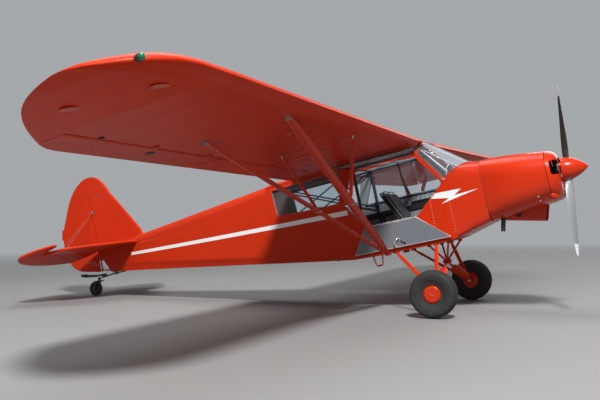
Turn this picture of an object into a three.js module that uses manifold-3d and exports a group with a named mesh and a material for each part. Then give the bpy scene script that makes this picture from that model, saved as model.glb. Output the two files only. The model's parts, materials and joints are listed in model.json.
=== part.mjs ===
// A two-seat, high-wing light aircraft on a tailwheel undercarriage, tube and fabric built.
// Millimetres. The airframe's own axes are x forward from the wing's leading edge, y to port
// and z up from the level of the side stripe. The whole airframe is then pitched nose up so
// that it stands on its two main wheels and its tailwheel.
import * as THREE from 'three';
import { mergeVertices } from 'three/addons/utils/BufferGeometryUtils.js';
import Module from 'manifold-3d';

const wasm = await Module();
wasm.setup();

// Attitude and fits
const degrees = Math.PI / 180;
const parkedPitch = 11.2 * degrees;
const seatGap = 0.3;
const runningGap = 7;

// Wing
const rootY = 345;
const wingUnderside = 511;
const wingIncidence = 0.73 * degrees;
const wingDihedral = 1.13 * degrees;
const wingChord = 1603;
const panelSpan = 5085;
const surfaceHingeX = -1290;
const surfaceNoseRadius = 40;
const flapSpan = [270, 2250];
const aileronSpan = [2265, 4290];
const trailingEdgeThickness = 7;

// Fuselage
const cabinFrontX = 200;
const cabinRearX = -2000;
const wallThickness = 22;
const floorThickness = 20;
const firewallX = 575;
const sternX = -4875;
const sillZ = -235;
const windowSillZ = 66;
const wallDrop = 3;

// Nose
const hubX = 1425;
const hubZ = -65;
const downthrust = 4.8 * degrees;
const propellerRadius = 940;
const bladeLean = -10 * degrees;
const spinnerRadius = 128;
const spinnerBehind = 52;
const spinnerAhead = 215;
const cowlFrontX = 1250;
const exhaustY = -150;
const noseFrontX = 1358;

// Undercarriage
const axleX = -40;
const axleZ = -1079;
const wheelTrack = 1826;
const tyreRadius = 246;
const tyreWidth = 200;
const tailAxleX = -5030;
const tailAxleZ = -243;
const tailTyreRadius = 99;
const gearPlane = -572;
const gearFittingY = 345;
const frontGearX = -53;
const rearGearX = -613;

// Tail
const tailPlaneZ = 262;
const elevatorHingeX = -4842;
const rudderHingeX = -4905;
const tailHalfSpan = 1460;
const stabilizerTipY = 1130;
const hornGap = 20;
const elevatorDroop = 14 * degrees;

const finishes = {
  redFabric: { color: 0xb8200f, roughness: 0.32, metalness: 0 },
  redMetal: { color: 0xc22412, roughness: 0.25, metalness: 0.1 },
  greyPanel: { color: 0x8d9299, roughness: 0.55, metalness: 0.1 },
  clear: { color: 0xdfe8ec, roughness: 0.05, metalness: 0 },
  blackPaint: { color: 0x1d1e20, roughness: 0.5, metalness: 0.2 },
  blackFabric: { color: 0x17181a, roughness: 0.8, metalness: 0 },
  rubber: { color: 0x24262a, roughness: 0.85, metalness: 0 },
  steel: { color: 0x6d7176, roughness: 0.4, metalness: 0.8 },
  blade: { color: 0xc9ccce, roughness: 0.4, metalness: 0.1 },
};

// Points and matrices
const point = (x, y, z) => new THREE.Vector3(x, y, z);
const lerp = THREE.MathUtils.lerp;

function interpolate(table, x, column) {
  const last = table.length - 1;
  const row = table.findIndex((entry, index) => index === last || x >= table[index + 1].x);
  const from = table[Math.min(row, last - 1)];
  const to = table[Math.min(row, last - 1) + 1];
  return lerp(from[column], to[column], (x - from.x) / (to.x - from.x));
}

// Turning surfaces into closed solids
function signedVolume(geometry) {
  const positions = geometry.attributes.position;
  const index = geometry.index;
  const corners = [point(), point(), point()];
  let volume = 0;
  for (let i = 0; i < index.count; i += 3) {
    corners.forEach((corner, k) => corner.fromBufferAttribute(positions, index.getX(i + k)));
    volume += corners[0].dot(corners[1].clone().cross(corners[2])) / 6;
  }
  return volume;
}

function closedMesh(positions, index) {
  const geometry = new THREE.BufferGeometry();
  geometry.setAttribute('position', new THREE.Float32BufferAttribute(positions, 3));
  geometry.setIndex(index);
  if (signedVolume(geometry) < 0) {
    for (let i = 0; i < index.length; i += 3) [index[i], index[i + 1]] = [index[i + 1], index[i]];
    geometry.setIndex(index);
  }
  return geometry;
}

function flatten(ring) {
  const normal = point(0, 0, 0);
  ring.forEach((p, i) => {
    const q = ring[(i + 1) % ring.length];
    normal.x += (p.y - q.y) * (p.z + q.z);
    normal.y += (p.z - q.z) * (p.x + q.x);
    normal.z += (p.x - q.x) * (p.y + q.y);
  });
  const [ax, ay, az] = [Math.abs(normal.x), Math.abs(normal.y), Math.abs(normal.z)];
  if (ax >= ay && ax >= az) return ring.map((p) => new THREE.Vector2(p.y, p.z));
  if (ay >= az) return ring.map((p) => new THREE.Vector2(p.z, p.x));
  return ring.map((p) => new THREE.Vector2(p.x, p.y));
}

function capFaces(ring, offset, alongRing) {
  const contour = flatten(ring);
  const ringSign = Math.sign(THREE.ShapeUtils.area(contour));
  return THREE.ShapeUtils.triangulateShape(contour, []).flatMap(([a, b, c]) => {
    const faceSign = Math.sign(THREE.ShapeUtils.area([contour[a], contour[b], contour[c]]));
    const forward = (faceSign === ringSign) === alongRing;
    return forward ? [offset + a, offset + b, offset + c] : [offset + a, offset + c, offset + b];
  });
}

// A solid through rings of equally many points, with flat ends
function loft(rings) {
  const count = rings[0].length;
  const positions = rings.flatMap((ring) => ring.flatMap((p) => [p.x, p.y, p.z]));
  const index = [];
  for (let i = 0; i < rings.length - 1; i += 1) {
    for (let j = 0; j < count; j += 1) {
      const a = i * count + j;
      const b = i * count + ((j + 1) % count);
      index.push(a, b, b + count, a, b + count, a + count);
    }
  }
  index.push(...capFaces(rings[0], 0, false));
  index.push(...capFaces(rings.at(-1), (rings.length - 1) * count, true));
  return closedMesh(positions, index);
}

// A sheet of even thickness on a grid of points; the thickness goes towards the inside point.
// With wrap, the sheet closes on itself along each row, as a cowling does.
function sheet(grid, thickness, inside, wrap = false) {
  const rows = grid.length;
  const columns = grid[0].length;
  const normalAt = (i, j) => {
    const left = wrap ? (j + columns - 1) % columns : Math.max(j - 1, 0);
    const right = wrap ? (j + 1) % columns : Math.min(j + 1, columns - 1);
    const across = grid[i][right].clone().sub(grid[i][left]);
    const along = grid[Math.min(i + 1, rows - 1)][j].clone().sub(grid[Math.max(i - 1, 0)][j]);
    const normal = across.cross(along).normalize();
    return normal.dot(grid[i][j].clone().sub(inside)) > 0 ? normal : normal.negate();
  };
  const outer = grid.flat();
  const inner = grid.flatMap((row, i) => row.map((p, j) => (
    p.clone().addScaledVector(normalAt(i, j), -thickness))));
  const positions = [...outer, ...inner].flatMap((p) => [p.x, p.y, p.z]);
  const index = [];
  const under = outer.length;
  const quad = (a, b, c, d) => index.push(a, b, c, a, c, d);
  const spans = wrap ? columns : columns - 1;
  for (let i = 0; i < rows - 1; i += 1) {
    for (let j = 0; j < spans; j += 1) {
      const a = i * columns + j;
      const b = i * columns + ((j + 1) % columns);
      quad(a, b, b + columns, a + columns);
      quad(under + a, under + a + columns, under + b + columns, under + b);
    }
  }
  for (let j = 0; j < spans; j += 1) {
    const next = (j + 1) % columns;
    const end = (rows - 1) * columns;
    quad(next, j, under + j, under + next);
    quad(end + j, end + next, under + end + next, under + end + j);
  }
  for (let i = 0; !wrap && i < rows - 1; i += 1) {
    const a = i * columns;
    const b = a + columns - 1;
    quad(a, a + columns, under + a + columns, under + a);
    quad(b + columns, b, under + b, under + b + columns);
  }
  return closedMesh(positions, index);
}

// A flat outline in the x-z plane, given thickness along y
function sidePrism(outline, fromY, toY) {
  return loft([fromY, toY].map((y) => outline.map(([x, z]) => point(x, y, z))));
}

// A flat outline in the x-y plane, given thickness along z, with its rims rounded off
function roundedPlate(outline, thickness, rim) {
  const shape = new THREE.Shape(outline.map(([x, y]) => new THREE.Vector2(x, y)));
  const plate = new THREE.ExtrudeGeometry(shape, {
    depth: thickness - 2 * rim,
    bevelEnabled: true,
    bevelThickness: rim,
    bevelSize: rim,
    bevelOffset: -rim,
    bevelSegments: 2,
  });
  return plate.translate(0, 0, rim - thickness / 2);
}

function box(sizeX, sizeY, sizeZ, x, y, z) {
  return new THREE.BoxGeometry(sizeX, sizeY, sizeZ).translate(x, y, z);
}

function rod(from, to, radius, sides = 10) {
  const along = to.clone().sub(from);
  const geometry = new THREE.CylinderGeometry(radius, radius, along.length(), sides);
  geometry.translate(0, along.length() / 2, 0);
  const turn = new THREE.Quaternion().setFromUnitVectors(point(0, 1, 0), along.normalize());
  return geometry.applyQuaternion(turn).translate(from.x, from.y, from.z);
}

// A streamlined tube: its chord lies fore and aft
function strut(from, to, chord, thickness) {
  const along = to.clone().sub(from).normalize();
  const across = point(1, 0, 0).addScaledVector(along, -along.x).normalize();
  const through = along.clone().cross(across);
  const section = [
    [0.5, 0], [0.38, 0.36], [0.12, 0.5], [-0.2, 0.38], [-0.5, 0], [-0.2, -0.38], [0.12, -0.5], [0.38, -0.36]];
  return loft([from, to].map((end) => section.map(([u, w]) => (
    end.clone().addScaledVector(across, u * chord).addScaledVector(through, w * thickness)))));
}

function lathe(profile, segments) {
  const corners = profile.map(([radius, height]) => new THREE.Vector2(radius, height));
  return new THREE.LatheGeometry(corners, segments);
}

function solidOf(geometry) {
  const bare = geometry.clone();
  bare.deleteAttribute('normal');
  bare.deleteAttribute('uv');
  const shared = mergeVertices(bare, 1e-3);
  return new wasm.Manifold(new wasm.Mesh({
    numProp: 3,
    vertProperties: new Float32Array(shared.attributes.position.array),
    triVerts: new Uint32Array(shared.index.array),
  }));
}

function geometryOf(solid) {
  const mesh = solid.getMesh();
  const geometry = new THREE.BufferGeometry();
  geometry.setAttribute('position', new THREE.BufferAttribute(new Float32Array(mesh.vertProperties), 3));
  geometry.setIndex(new THREE.BufferAttribute(new Uint32Array(mesh.triVerts), 1));
  return geometry;
}

function join(...geometries) {
  return geometryOf(geometries.map(solidOf).reduce((sum, next) => sum.add(next)));
}

function cut(geometry, ...tools) {
  return geometryOf(tools.map(solidOf).reduce((rest, tool) => rest.subtract(tool), solidOf(geometry)));
}

// Keeps what lies between two stations along x
function trimmed(geometry, rearX, frontX) {
  const reach = 3000;
  const behind = box(reach, reach, reach, rearX - reach / 2, 0, 0);
  const ahead = box(reach, reach, reach, frontX + reach / 2, 0, 0);
  return cut(geometry, behind, ahead);
}

const aircraft = new THREE.Group();
const airframe = new THREE.Group();
airframe.rotation.y = -parkedPitch;
aircraft.add(airframe);

function addPiece(name, geometry, finish, parent = airframe) {
  const mesh = new THREE.Mesh(geometry, new THREE.MeshStandardMaterial(finishes[finish]));
  mesh.name = name;
  parent.add(mesh);
  return mesh;
}

const sides = [{ name: 'left', sign: 1 }, { name: 'right', sign: -1 }];

// Wing panels, flaps and ailerons.
// Each panel has its own axes: x forward from its leading edge, y towards its tip, z up from its
// flat underside.
const aerofoil = [
  { chord: 0, upper: 0.04, lower: 0.04 },
  { chord: 0.015, upper: 0.062, lower: 0.021 },
  { chord: 0.05, upper: 0.085, lower: 0.009 },
  { chord: 0.12, upper: 0.106, lower: 0.001 },
  { chord: 0.27, upper: 0.117, lower: 0 },
  { chord: 0.45, upper: 0.109, lower: 0 },
  { chord: 0.62, upper: 0.087, lower: 0 },
  { chord: 0.78, upper: 0.056, lower: 0 },
  { chord: 1, upper: 0.0044, lower: 0 },
];
const wingStations = [
  { span: -12, front: 0, rear: -wingChord, lift: 0 },
  { span: 4150, front: 0, rear: -wingChord, lift: 0 },
  { span: 4310, front: -2, rear: -1495, lift: 3 },
  { span: 4470, front: -14, rear: -1400, lift: 15 },
  { span: 4640, front: -54, rear: -1283, lift: 29 },
  { span: 4790, front: -140, rear: -1155, lift: 42 },
  { span: 4905, front: -258, rear: -1020, lift: 52 },
  { span: 4985, front: -360, rear: -890, lift: 60 },
  { span: 5050, front: -452, rear: -742, lift: 68 },
  { span: panelSpan, front: -545, rear: -635, lift: 73 },
];

function aerofoilRing({ span, front, rear, lift }, sign) {
  const chord = front - rear;
  const surface = (level) => aerofoil.map((row) => (
    point(front - row.chord * chord, sign * span, lift + row[level] * chord)));
  return [...surface('upper').reverse(), ...surface('lower').slice(1)];
}

// The aileron's trailing edge sweeps forward at its outer end, into the line of the wing tip
const aileronEdge = [
  { span: aileronSpan[0], rear: -wingChord }, { span: 4000, rear: -wingChord }, { span: 4100, rear: -1590 },
  { span: 4200, rear: -1556 }, { span: aileronSpan[1], rear: -1510 },
];
const flapEdge = flapSpan.map((span) => ({ span, rear: -wingChord }));

function controlSurface(edge, sign) {
  return loft(edge.map(({ span, rear }) => {
    const nose = [90, 45, 0, -45, -90].map((angle) => point(
      surfaceHingeX + surfaceNoseRadius * Math.cos(angle * degrees), sign * span,
      surfaceNoseRadius + 1 + surfaceNoseRadius * Math.sin(angle * degrees)));
    return [...nose, point(rear, sign * span, 0), point(rear, sign * span, trailingEdgeThickness)];
  }));
}

// The root rib stands upright, so the panel is trimmed there in the airframe's own axes
function wingPanel(sign, placement) {
  const panel = loft(wingStations.map((station) => aerofoilRing(station, sign)));
  const rearWallX = surfaceHingeX + surfaceNoseRadius + runningGap;
  const bay = (span) => {
    const [inner, outer] = [span[0] - runningGap, span[1] + runningGap];
    const width = outer - inner;
    const depth = rearWallX + wingChord + 20;
    return box(depth, width, 300, rearWallX - depth / 2, sign * (inner + width / 2), 60);
  };
  const lampPod = new THREE.SphereGeometry(1, 10, 8).scale(42, 34, 20).translate(-200, sign * 4860, 88);
  const hingeHeight = surfaceNoseRadius + 1;
  const boss = (from, to) => rod(
    point(surfaceHingeX, sign * from, hingeHeight), point(surfaceHingeX, sign * to, hingeHeight), 22, 14);
  const middleFrom = flapSpan[1] + seatGap;
  const middleTo = aileronSpan[0] - seatGap;
  const middleArm = box(
    56, middleTo - middleFrom, 30, rearWallX - 22, sign * (middleFrom + middleTo) / 2, hingeHeight);
  const hinges = [
    boss(flapSpan[0] - 2 * runningGap, flapSpan[0] - seatGap),
    boss(middleFrom, middleTo),
    boss(aileronSpan[1] + seatGap, aileronSpan[1] + 2 * runningGap),
    middleArm,
  ];
  const inboard = box(2200, 400, 600, -800, sign * (rootY - 200), 600)
    .applyMatrix4(placement.clone().invert());
  return join(cut(panel, bay([flapSpan[0], aileronSpan[1]]), inboard), lampPod, ...hinges);
}

const wingGroups = Object.fromEntries(sides.map(({ name, sign }) => {
  const group = new THREE.Group();
  group.position.set(0, sign * rootY, wingUnderside);
  group.rotation.set(sign * wingDihedral, -wingIncidence, 0, 'YXZ');
  group.updateMatrix();
  airframe.add(group);
  addPiece(`wing_${name}`, wingPanel(sign, group.matrix), 'redFabric', group);
  addPiece(`flap_${name}`, controlSurface(flapEdge, sign), 'redFabric', group);
  addPiece(`aileron_${name}`, controlSurface(aileronEdge, sign), 'redFabric', group);
  return [name, group];
}));

const onWing = (side, x, span, z) => point(x, side.sign * span, z).applyMatrix4(wingGroups[side.name].matrix);

function belowWing(side) {
  const slab = box(2200, 5400, 400, -800, side.sign * 2500, 200 - seatGap);
  return slab.applyMatrix4(wingGroups[side.name].matrix);
}

// Fuselage sections: half width, underside and the level of the wall's top
const cabinStations = [
  { x: cabinFrontX - seatGap, half: 365, bottom: -548 },
  { x: 70, half: 365, bottom: gearPlane },
  { x: -1030, half: 365, bottom: gearPlane },
  { x: cabinRearX, half: 300, bottom: -436 },
];
const halfAt = (x) => interpolate(cabinStations, x, 'half');
const wallTopAt = (x) => wingUnderside - wallDrop + x * Math.tan(wingIncidence);

const doorOutline = [[-205, sillZ], [-812, sillZ], [-1000, windowSillZ], [145, windowSillZ]];
const upperDoorOutline = [[150, windowSillZ], [-1000, windowSillZ], [-830, 462], [-128, 462]];
const rearWindow = [[-1075, 92], [-1905, 130], [-1925, 440], [-985, 458]];
const doorMargin = 8;
const doorHingeY = -376;
const upperHingeZ = 472;
const hingeLugs = [[-700, sillZ], [-320, sillZ], [-740, upperHingeZ], [-220, upperHingeZ]];
const windscreenCut = [[230, 60], [198, 96], [172, 92], [-116, 520], [230, 520]];

// Moves every edge of a flat outline outwards by the margin
function grown(outline, margin) {
  const corners = outline.map(([x, z]) => new THREE.Vector2(x, z));
  const turn = Math.sign(THREE.ShapeUtils.area(corners));
  const edgeNormal = (from, to) => {
    const along = to.clone().sub(from).normalize();
    return new THREE.Vector2(along.y * turn, -along.x * turn);
  };
  return corners.map((corner, i) => {
    const before = edgeNormal(corners.at(i - 1), corner);
    const after = edgeNormal(corner, corners[(i + 1) % corners.length]);
    const reach = margin / (1 + before.dot(after));
    return [corner.x + (before.x + after.x) * reach, corner.y + (before.y + after.y) * reach];
  });
}

function sideWall(side) {
  const inner = (half) => half - wallThickness;
  const wall = loft(cabinStations.map(({ x, half, bottom }) => {
    const foot = bottom + floorThickness + seatGap;
    return [
      point(x, side.sign * half, foot), point(x, side.sign * half, wallTopAt(x)),
      point(x, side.sign * inner(half), wallTopAt(x)), point(x, side.sign * inner(half), foot),
    ];
  }));
  const through = (outline) => sidePrism(outline, side.sign * 250, side.sign * 420);
  const tools = [through(windscreenCut), through(rearWindow)];
  const doorways = [grown(doorOutline, doorMargin), grown(upperDoorOutline, doorMargin)];
  if (side.name === 'right') tools.push(...doorways.map(through));
  else tools.push(through(grown(upperDoorOutline, -12)));
  const trimmedWall = cut(wall, ...tools);
  if (side.name === 'left') return trimmedWall;
  const lugs = hingeLugs.map(([x, z]) => {
    const level = z > 0 ? z + 6 : z - 13;
    return box(70, 7.8, 22, x, doorHingeY + 7.2 + 3.9, level);
  });
  return join(trimmedWall, ...lugs);
}

sides.forEach((side) => addPiece(`cabin_side_${side.name}`, sideWall(side), 'redFabric'));

// The belly doubles as the cabin floor
addPiece('cabin_floor', loft(cabinStations.map(({ x, half, bottom }) => [
  point(x, half, bottom), point(x, -half, bottom),
  point(x, -half, bottom + floorThickness), point(x, half, bottom + floorThickness),
])), 'redFabric');

// Roof between the wing roots, and the deck that runs back from it to the tail
const roofStations = [-14, -60, -150, -300, -600, -950, -1250, -1600, -1615, cabinRearX];

function wingTopAt(x) {
  const fraction = Math.min(-x / wingChord, 1);
  const row = Math.min(aerofoil.findIndex((entry) => entry.chord >= fraction), aerofoil.length - 1);
  const to = aerofoil[Math.max(row, 1)];
  const from = aerofoil[Math.max(row, 1) - 1];
  const upper = lerp(from.upper, to.upper, (fraction - from.chord) / (to.chord - from.chord));
  return wingUnderside + x * Math.tan(wingIncidence) + upper * wingChord;
}

function roofRow(x, thicknessDown = 0) {
  const behindWing = x < -wingChord - 5;
  const half = behindWing ? halfAt(x) - 1 : rootY - seatGap;
  const edge = behindWing ? wallTopAt(x) + 15.5 : wingTopAt(x) - 6;
  const crown = 62 * THREE.MathUtils.smoothstep(-x, 250, 1600);
  return [1, 0.8, 0.45, 0, -0.45, -0.8, -1].map((share) => (
    point(x, share * half, edge + crown * (1 - share * share) - thicknessDown)));
}

const skylightFront = -140;
const skylightRear = -940;
const skylightHalf = 292;
const roofSheet = sheet(roofStations.map((x) => roofRow(x)), 14, point(-900, 0, -400));
const skylightOpening = box(
  skylightFront - skylightRear, 2 * skylightHalf, 400, (skylightFront + skylightRear) / 2, 0, 700);
const wallHeads = sides.map(({ sign }) => loft(cabinStations.map(({ x, half }) => {
  const [outer, inner] = [sign * (half + 2), sign * (half - wallThickness - 2)];
  const head = wallTopAt(x) + seatGap;
  return [point(x, outer, 0), point(x, outer, head), point(x, inner, head), point(x, inner, 0)];
})));
addPiece('cabin_roof', cut(trimmed(roofSheet, cabinRearX, 0), skylightOpening, ...wallHeads), 'redFabric');
const paneStations = [skylightFront - seatGap, -300, -600, skylightRear + seatGap];
addPiece('skylight', sheet(paneStations.map((x) => [1, 0.5, 0, -0.5, -1].map((share) => (
  point(x, share * (skylightHalf - seatGap), wingTopAt(x) - 8)))), 5, point(-900, 0, -400)), 'clear');

// Rear fuselage, from the baggage bulkhead to the sternpost
const rearStations = [
  { x: cabinRearX - seatGap, half: 300, bottom: -436, shoulder: 440, top: 545 },
  { x: -2600, half: 245, bottom: -350, shoulder: 390, top: 490 },
  { x: -3400, half: 172, bottom: -238, shoulder: 322, top: 414 },
  { x: -4200, half: 100, bottom: -126, shoulder: 254, top: 340 },
  { x: sternX, half: 28, bottom: -36, shoulder: 196, top: 292 },
];

function rearRing({ x, half, bottom, shoulder, top }) {
  const deck = [0.82, 0.5, 0, -0.5, -0.82].map((share) => (
    point(x, share * half, shoulder + (top - shoulder) * (1 - share ** 2))));
  return [
    point(x, -half, shoulder), point(x, -half, bottom + 14), point(x, -half + 14, bottom),
    point(x, half - 14, bottom), point(x, half, bottom + 14), point(x, half, shoulder), ...deck,
  ];
}

// The skin ends on a slanted line ahead of the sternpost, which stands free below it
const torqueTubeSlot = rod(
  point(elevatorHingeX, -90, tailPlaneZ), point(elevatorHingeX, 90, tailPlaneZ), 24, 12);
const sternOpening = sidePrism(
  [[-4690, -120], [-4690, -68], [-4790, 118], [-4862, 176], [-4900, 176], [-4900, -120]], -90, 90);
const sternpost = rod(point(sternX + 13, 0, -30), point(sternX + 13, 0, 196), 11, 10);
const rearSkin = cut(loft(rearStations.map(rearRing)), torqueTubeSlot, sternOpening);
addPiece('rear_fuselage', join(rearSkin, sternpost), 'redFabric');

// Boot cowl between firewall and windscreen, with the firewall as its front wall
const bootRear = [
  { x: cabinFrontX, y: 0, z: -548 }, { x: cabinFrontX, y: 340, z: -548 }, { x: cabinFrontX, y: 365, z: -525 },
  { x: cabinFrontX, y: 365, z: -200 }, { x: cabinFrontX, y: 365, z: 60 },
  { x: cabinFrontX + 2, y: 365, z: 108 }, { x: 250, y: 360, z: 136 }, { x: 335, y: 342, z: 182 },
  { x: 402, y: 270, z: 216 }, { x: 445, y: 140, z: 240 }, { x: 455, y: 0, z: 246 },
];
const bootFront = [
  { y: 0, z: -455 }, { y: 260, z: -452 }, { y: 330, z: -410 }, { y: 350, z: -200 }, { y: 350, z: 0 },
  { y: 346, z: 60 }, { y: 335, z: 110 }, { y: 305, z: 160 }, { y: 235, z: 198 }, { y: 120, z: 222 },
  { y: 0, z: 230 },
];

function mirroredRing(half) {
  const other = half.slice(1, -1).reverse().map((p) => point(p.x, -p.y, p.z));
  return [...half, ...other];
}

const between = (from, to, share) => point(
  lerp(from.x, to.x, share), lerp(from.y, to.y, share), lerp(from.z, to.z, share));

const bootRings = [0, 0.4, 1].map((share) => mirroredRing(
  bootFront.map((front, i) => between({ x: firewallX, ...front }, bootRear[i], share))));
const firewall = loft([firewallX - 3, firewallX - 12].map((x) => mirroredRing(bootFront.map(({ y, z }) => (
  point(x, y * 0.985, -110 + (z + 110) * 0.985))))));
const bootSheet = sheet(bootRings, 10, point(350, 0, -150), true);
addPiece('boot_cowl', trimmed(join(bootSheet, firewall), cabinFrontX, firewallX), 'redMetal');

// Windscreen: one curved sheet from the boot cowl up to the wing roots
const screenBase = [
  { x: 176, y: 362, z: 104 }, { x: 252, y: 356, z: 134 }, { x: 334, y: 338, z: 180 },
  { x: 400, y: 267, z: 214 }, { x: 443, y: 139, z: 238 }, { x: 453, y: 0, z: 244 },
];
const screenTop = [
  { x: -98, y: 362, z: 500 }, { x: -30, y: 352, z: 503 }, { x: 14, y: 336, z: 540 },
  { x: 14, y: 250, z: 572 }, { x: 14, y: 120, z: 582 }, { x: 14, y: 0, z: 584 },
];

function arch(half) {
  const other = half.slice(0, -1).reverse().map((p) => point(p.x, -p.y, p.z));
  return [...half.map((p) => point(p.x, p.y, p.z)), ...other];
}

const screenRows = [0, 0.33, 0.67, 1].map((share) => arch(
  screenBase.map((base, i) => between(base, screenTop[i], share))));
const bootEdge = bootSheet.clone().translate(-seatGap, 0, seatGap);
addPiece('windscreen', cut(sheet(screenRows, 5, point(-100, 0, 100)), bootSheet, bootEdge), 'clear');

// Side windows lie against the inside of the walls
function paneBehind(outline, side) {
  const pane = outline.map(([x]) => halfAt(x) - wallThickness - seatGap);
  const outerRing = outline.map(([x, z], i) => point(x, side.sign * pane[i], z));
  const innerRing = outline.map(([x, z], i) => point(x, side.sign * (pane[i] - 5), z));
  return loft([outerRing, innerRing]);
}

sides.forEach((side) => {
  addPiece(`rear_window_${side.name}`, paneBehind(grown(rearWindow, 12), side), 'clear');
});
addPiece('front_window_left', paneBehind(grown(upperDoorOutline, 0), sides[0]), 'clear');

// Engine bay: cowling, nose bowl, scoop, exhaust and the engine
const cowlStations = [
  { x: firewallX + seatGap, top: 229, bottom: -454, half: 350, square: 4.2 },
  { x: 760, top: 224, bottom: -442, half: 388, square: 3.3 },
  { x: 1000, top: 202, bottom: -418, half: 408, square: 2.9 },
  { x: cowlFrontX, top: 166, bottom: -384, half: 396, square: 2.7 },
];
const noseStations = [
  { x: cowlFrontX + seatGap, top: 166, bottom: -384, half: 396, square: 2.7 },
  { x: 1305, top: 152, bottom: -374, half: 376, square: 2.6 },
  { x: 1340, top: 122, bottom: -348, half: 336, square: 2.5 },
  { x: noseFrontX, top: 84, bottom: -300, half: 285, square: 2.4 },
  { x: noseFrontX + 4, top: 80, bottom: -204, half: 139, square: 2 },
];

function superRing({ x, top, bottom, half, square }, count = 32) {
  const level = (top + bottom) / 2;
  const height = (top - bottom) / 2;
  return Array.from({ length: count }, (_, i) => {
    const angle = (i / count) * 2 * Math.PI;
    const [c, s] = [Math.cos(angle), Math.sin(angle)];
    return point(
      x,
      Math.sign(c) * half * Math.abs(c) ** (2 / square),
      level + Math.sign(s) * height * Math.abs(s) ** (2 / square),
    );
  });
}

// The scoop hangs below the cowling and deepens forward to its open mouth
const scoop = loft([
  [640, -462], [1128, -566],
].map(([x, z]) => [point(x, 105, -400), point(x, 105, z + 12), point(x, 90, z), point(x, -90, z),
  point(x, -105, z + 12), point(x, -105, -400)]));
const scoopBore = loft([[700, -452], [1140, -556]].map(([x, z]) => [
  point(x, 94, -428), point(x, 94, z + 6), point(x, -94, z + 6), point(x, -94, -428)]));
const cowlSheet = sheet(cowlStations.map((station) => superRing(station)), 7, point(900, 0, -120), true);
const cowlRoom = loft(cowlStations.map(({ x, top, bottom, half, square }) => (
  superRing({ x, top: top - 7, bottom: bottom + 7, half: half - 7, square }))));
const stackHole = box(80, 80, 120, 672, exhaustY, -450);
const cowlShell = cut(join(cowlSheet, cut(scoop, cowlRoom)), scoopBore, stackHole);
addPiece('engine_cowl', trimmed(cowlShell, firewallX + seatGap, cowlFrontX), 'redMetal');

const intakes = sides.map(({ sign }) => new THREE.CylinderGeometry(1, 1, 200, 14).rotateZ(Math.PI / 2)
  .scale(1, 62, 78).translate(1330, sign * 216, -38));
const noseSheet = sheet(noseStations.map((station) => superRing(station)), 7, point(1150, 0, -100), true);
addPiece('nose_bowl', trimmed(cut(noseSheet, ...intakes), cowlFrontX + seatGap, hubX), 'redMetal');

const thrustLine = new THREE.Group();
thrustLine.position.set(hubX, 0, hubZ);
thrustLine.rotation.y = downthrust;
airframe.add(thrustLine);

// The engine is one block at its real place, with its mount and its crankshaft
const mountFeet = [[250, 120], [-250, 120], [250, -290], [-250, -290]];
const mountTubes = mountFeet.map(([y, z]) => (
  rod(point(firewallX - 2 + seatGap, y, z), point(760, y * 0.72, z * 0.6), 12, 8)));
const crankcase = box(480, 600, 310, 950, 0, -90);
const crankcaseUnderside = -245;
const crankshaft = new THREE.CylinderGeometry(48, 48, 320, 16).rotateZ(Math.PI / 2)
  .translate(-spinnerBehind - seatGap - 160, 0, 0).rotateY(downthrust).translate(hubX, 0, hubZ);
const engine = join(crankcase, crankshaft, ...mountTubes);
addPiece('engine_block', trimmed(engine, firewallX - 3 + seatGap, hubX), 'steel');
const stack = rod(point(650, exhaustY, -585), point(736, exhaustY, -230), 24, 12);
const crankcaseRoom = box(500, 640, 200, 950, 0, crankcaseUnderside - seatGap + 100);
addPiece('exhaust_stack', cut(stack, crankcaseRoom), 'steel');

// Propeller and spinner turn together on the thrust line
const bladeStations = [
  { radius: 0, chord: 76, thickness: 70, angle: 60 },
  { radius: 130, chord: 78, thickness: 62, angle: 58 },
  { radius: 230, chord: 98, thickness: 30, angle: 48 },
  { radius: 420, chord: 112, thickness: 20, angle: 34 },
  { radius: 650, chord: 104, thickness: 13, angle: 24 },
  { radius: 850, chord: 84, thickness: 9, angle: 18 },
  { radius: 925, chord: 60, thickness: 7, angle: 17 },
  { radius: propellerRadius, chord: 26, thickness: 5, angle: 17 },
];
const bladeSection = [
  [0.5, 0], [0.36, 0.4], [0.1, 0.6], [-0.25, 0.45], [-0.5, 0.05], [-0.25, -0.3], [0.1, -0.4], [0.36, -0.3]];

function blade() {
  return loft(bladeStations.map(({ radius, chord, thickness, angle }) => {
    const pitch = angle * degrees;
    return bladeSection.map(([u, w]) => point(
      u * chord * Math.sin(pitch) + w * thickness * Math.cos(pitch),
      -u * chord * Math.cos(pitch) + w * thickness * Math.sin(pitch),
      radius,
    ));
  }));
}

const hub = new THREE.CylinderGeometry(70, 70, spinnerBehind + 40, 20).rotateZ(Math.PI / 2)
  .translate(20 - spinnerBehind / 2, 0, 0);
const twoBlades = join(blade(), blade().rotateX(Math.PI), hub);
addPiece('propeller', twoBlades.rotateX(bladeLean), 'blade', thrustLine);

const spinnerProfile = [[0, -spinnerBehind], [spinnerRadius, -spinnerBehind]];
for (let i = 1; i <= 8; i += 1) {
  const share = i / 8;
  const radius = i === 8 ? 0 : spinnerRadius * (1 - share ** 1.9) ** 0.86;
  spinnerProfile.push([radius, lerp(-spinnerBehind + 12, spinnerAhead, share)]);
}
const spinnerBody = lathe(spinnerProfile, 28).rotateZ(-Math.PI / 2);
const spinnerBore = new THREE.CylinderGeometry(70.4, 70.4, 150, 20).rotateZ(Math.PI / 2)
  .rotateX(bladeLean).translate(41 - 75, 0, 0);
const bladeSlots = box(96, 96, 300, 0, 0, 0).rotateX(bladeLean);
addPiece('spinner', cut(spinnerBody, spinnerBore, bladeSlots), 'redMetal', thrustLine);

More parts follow.
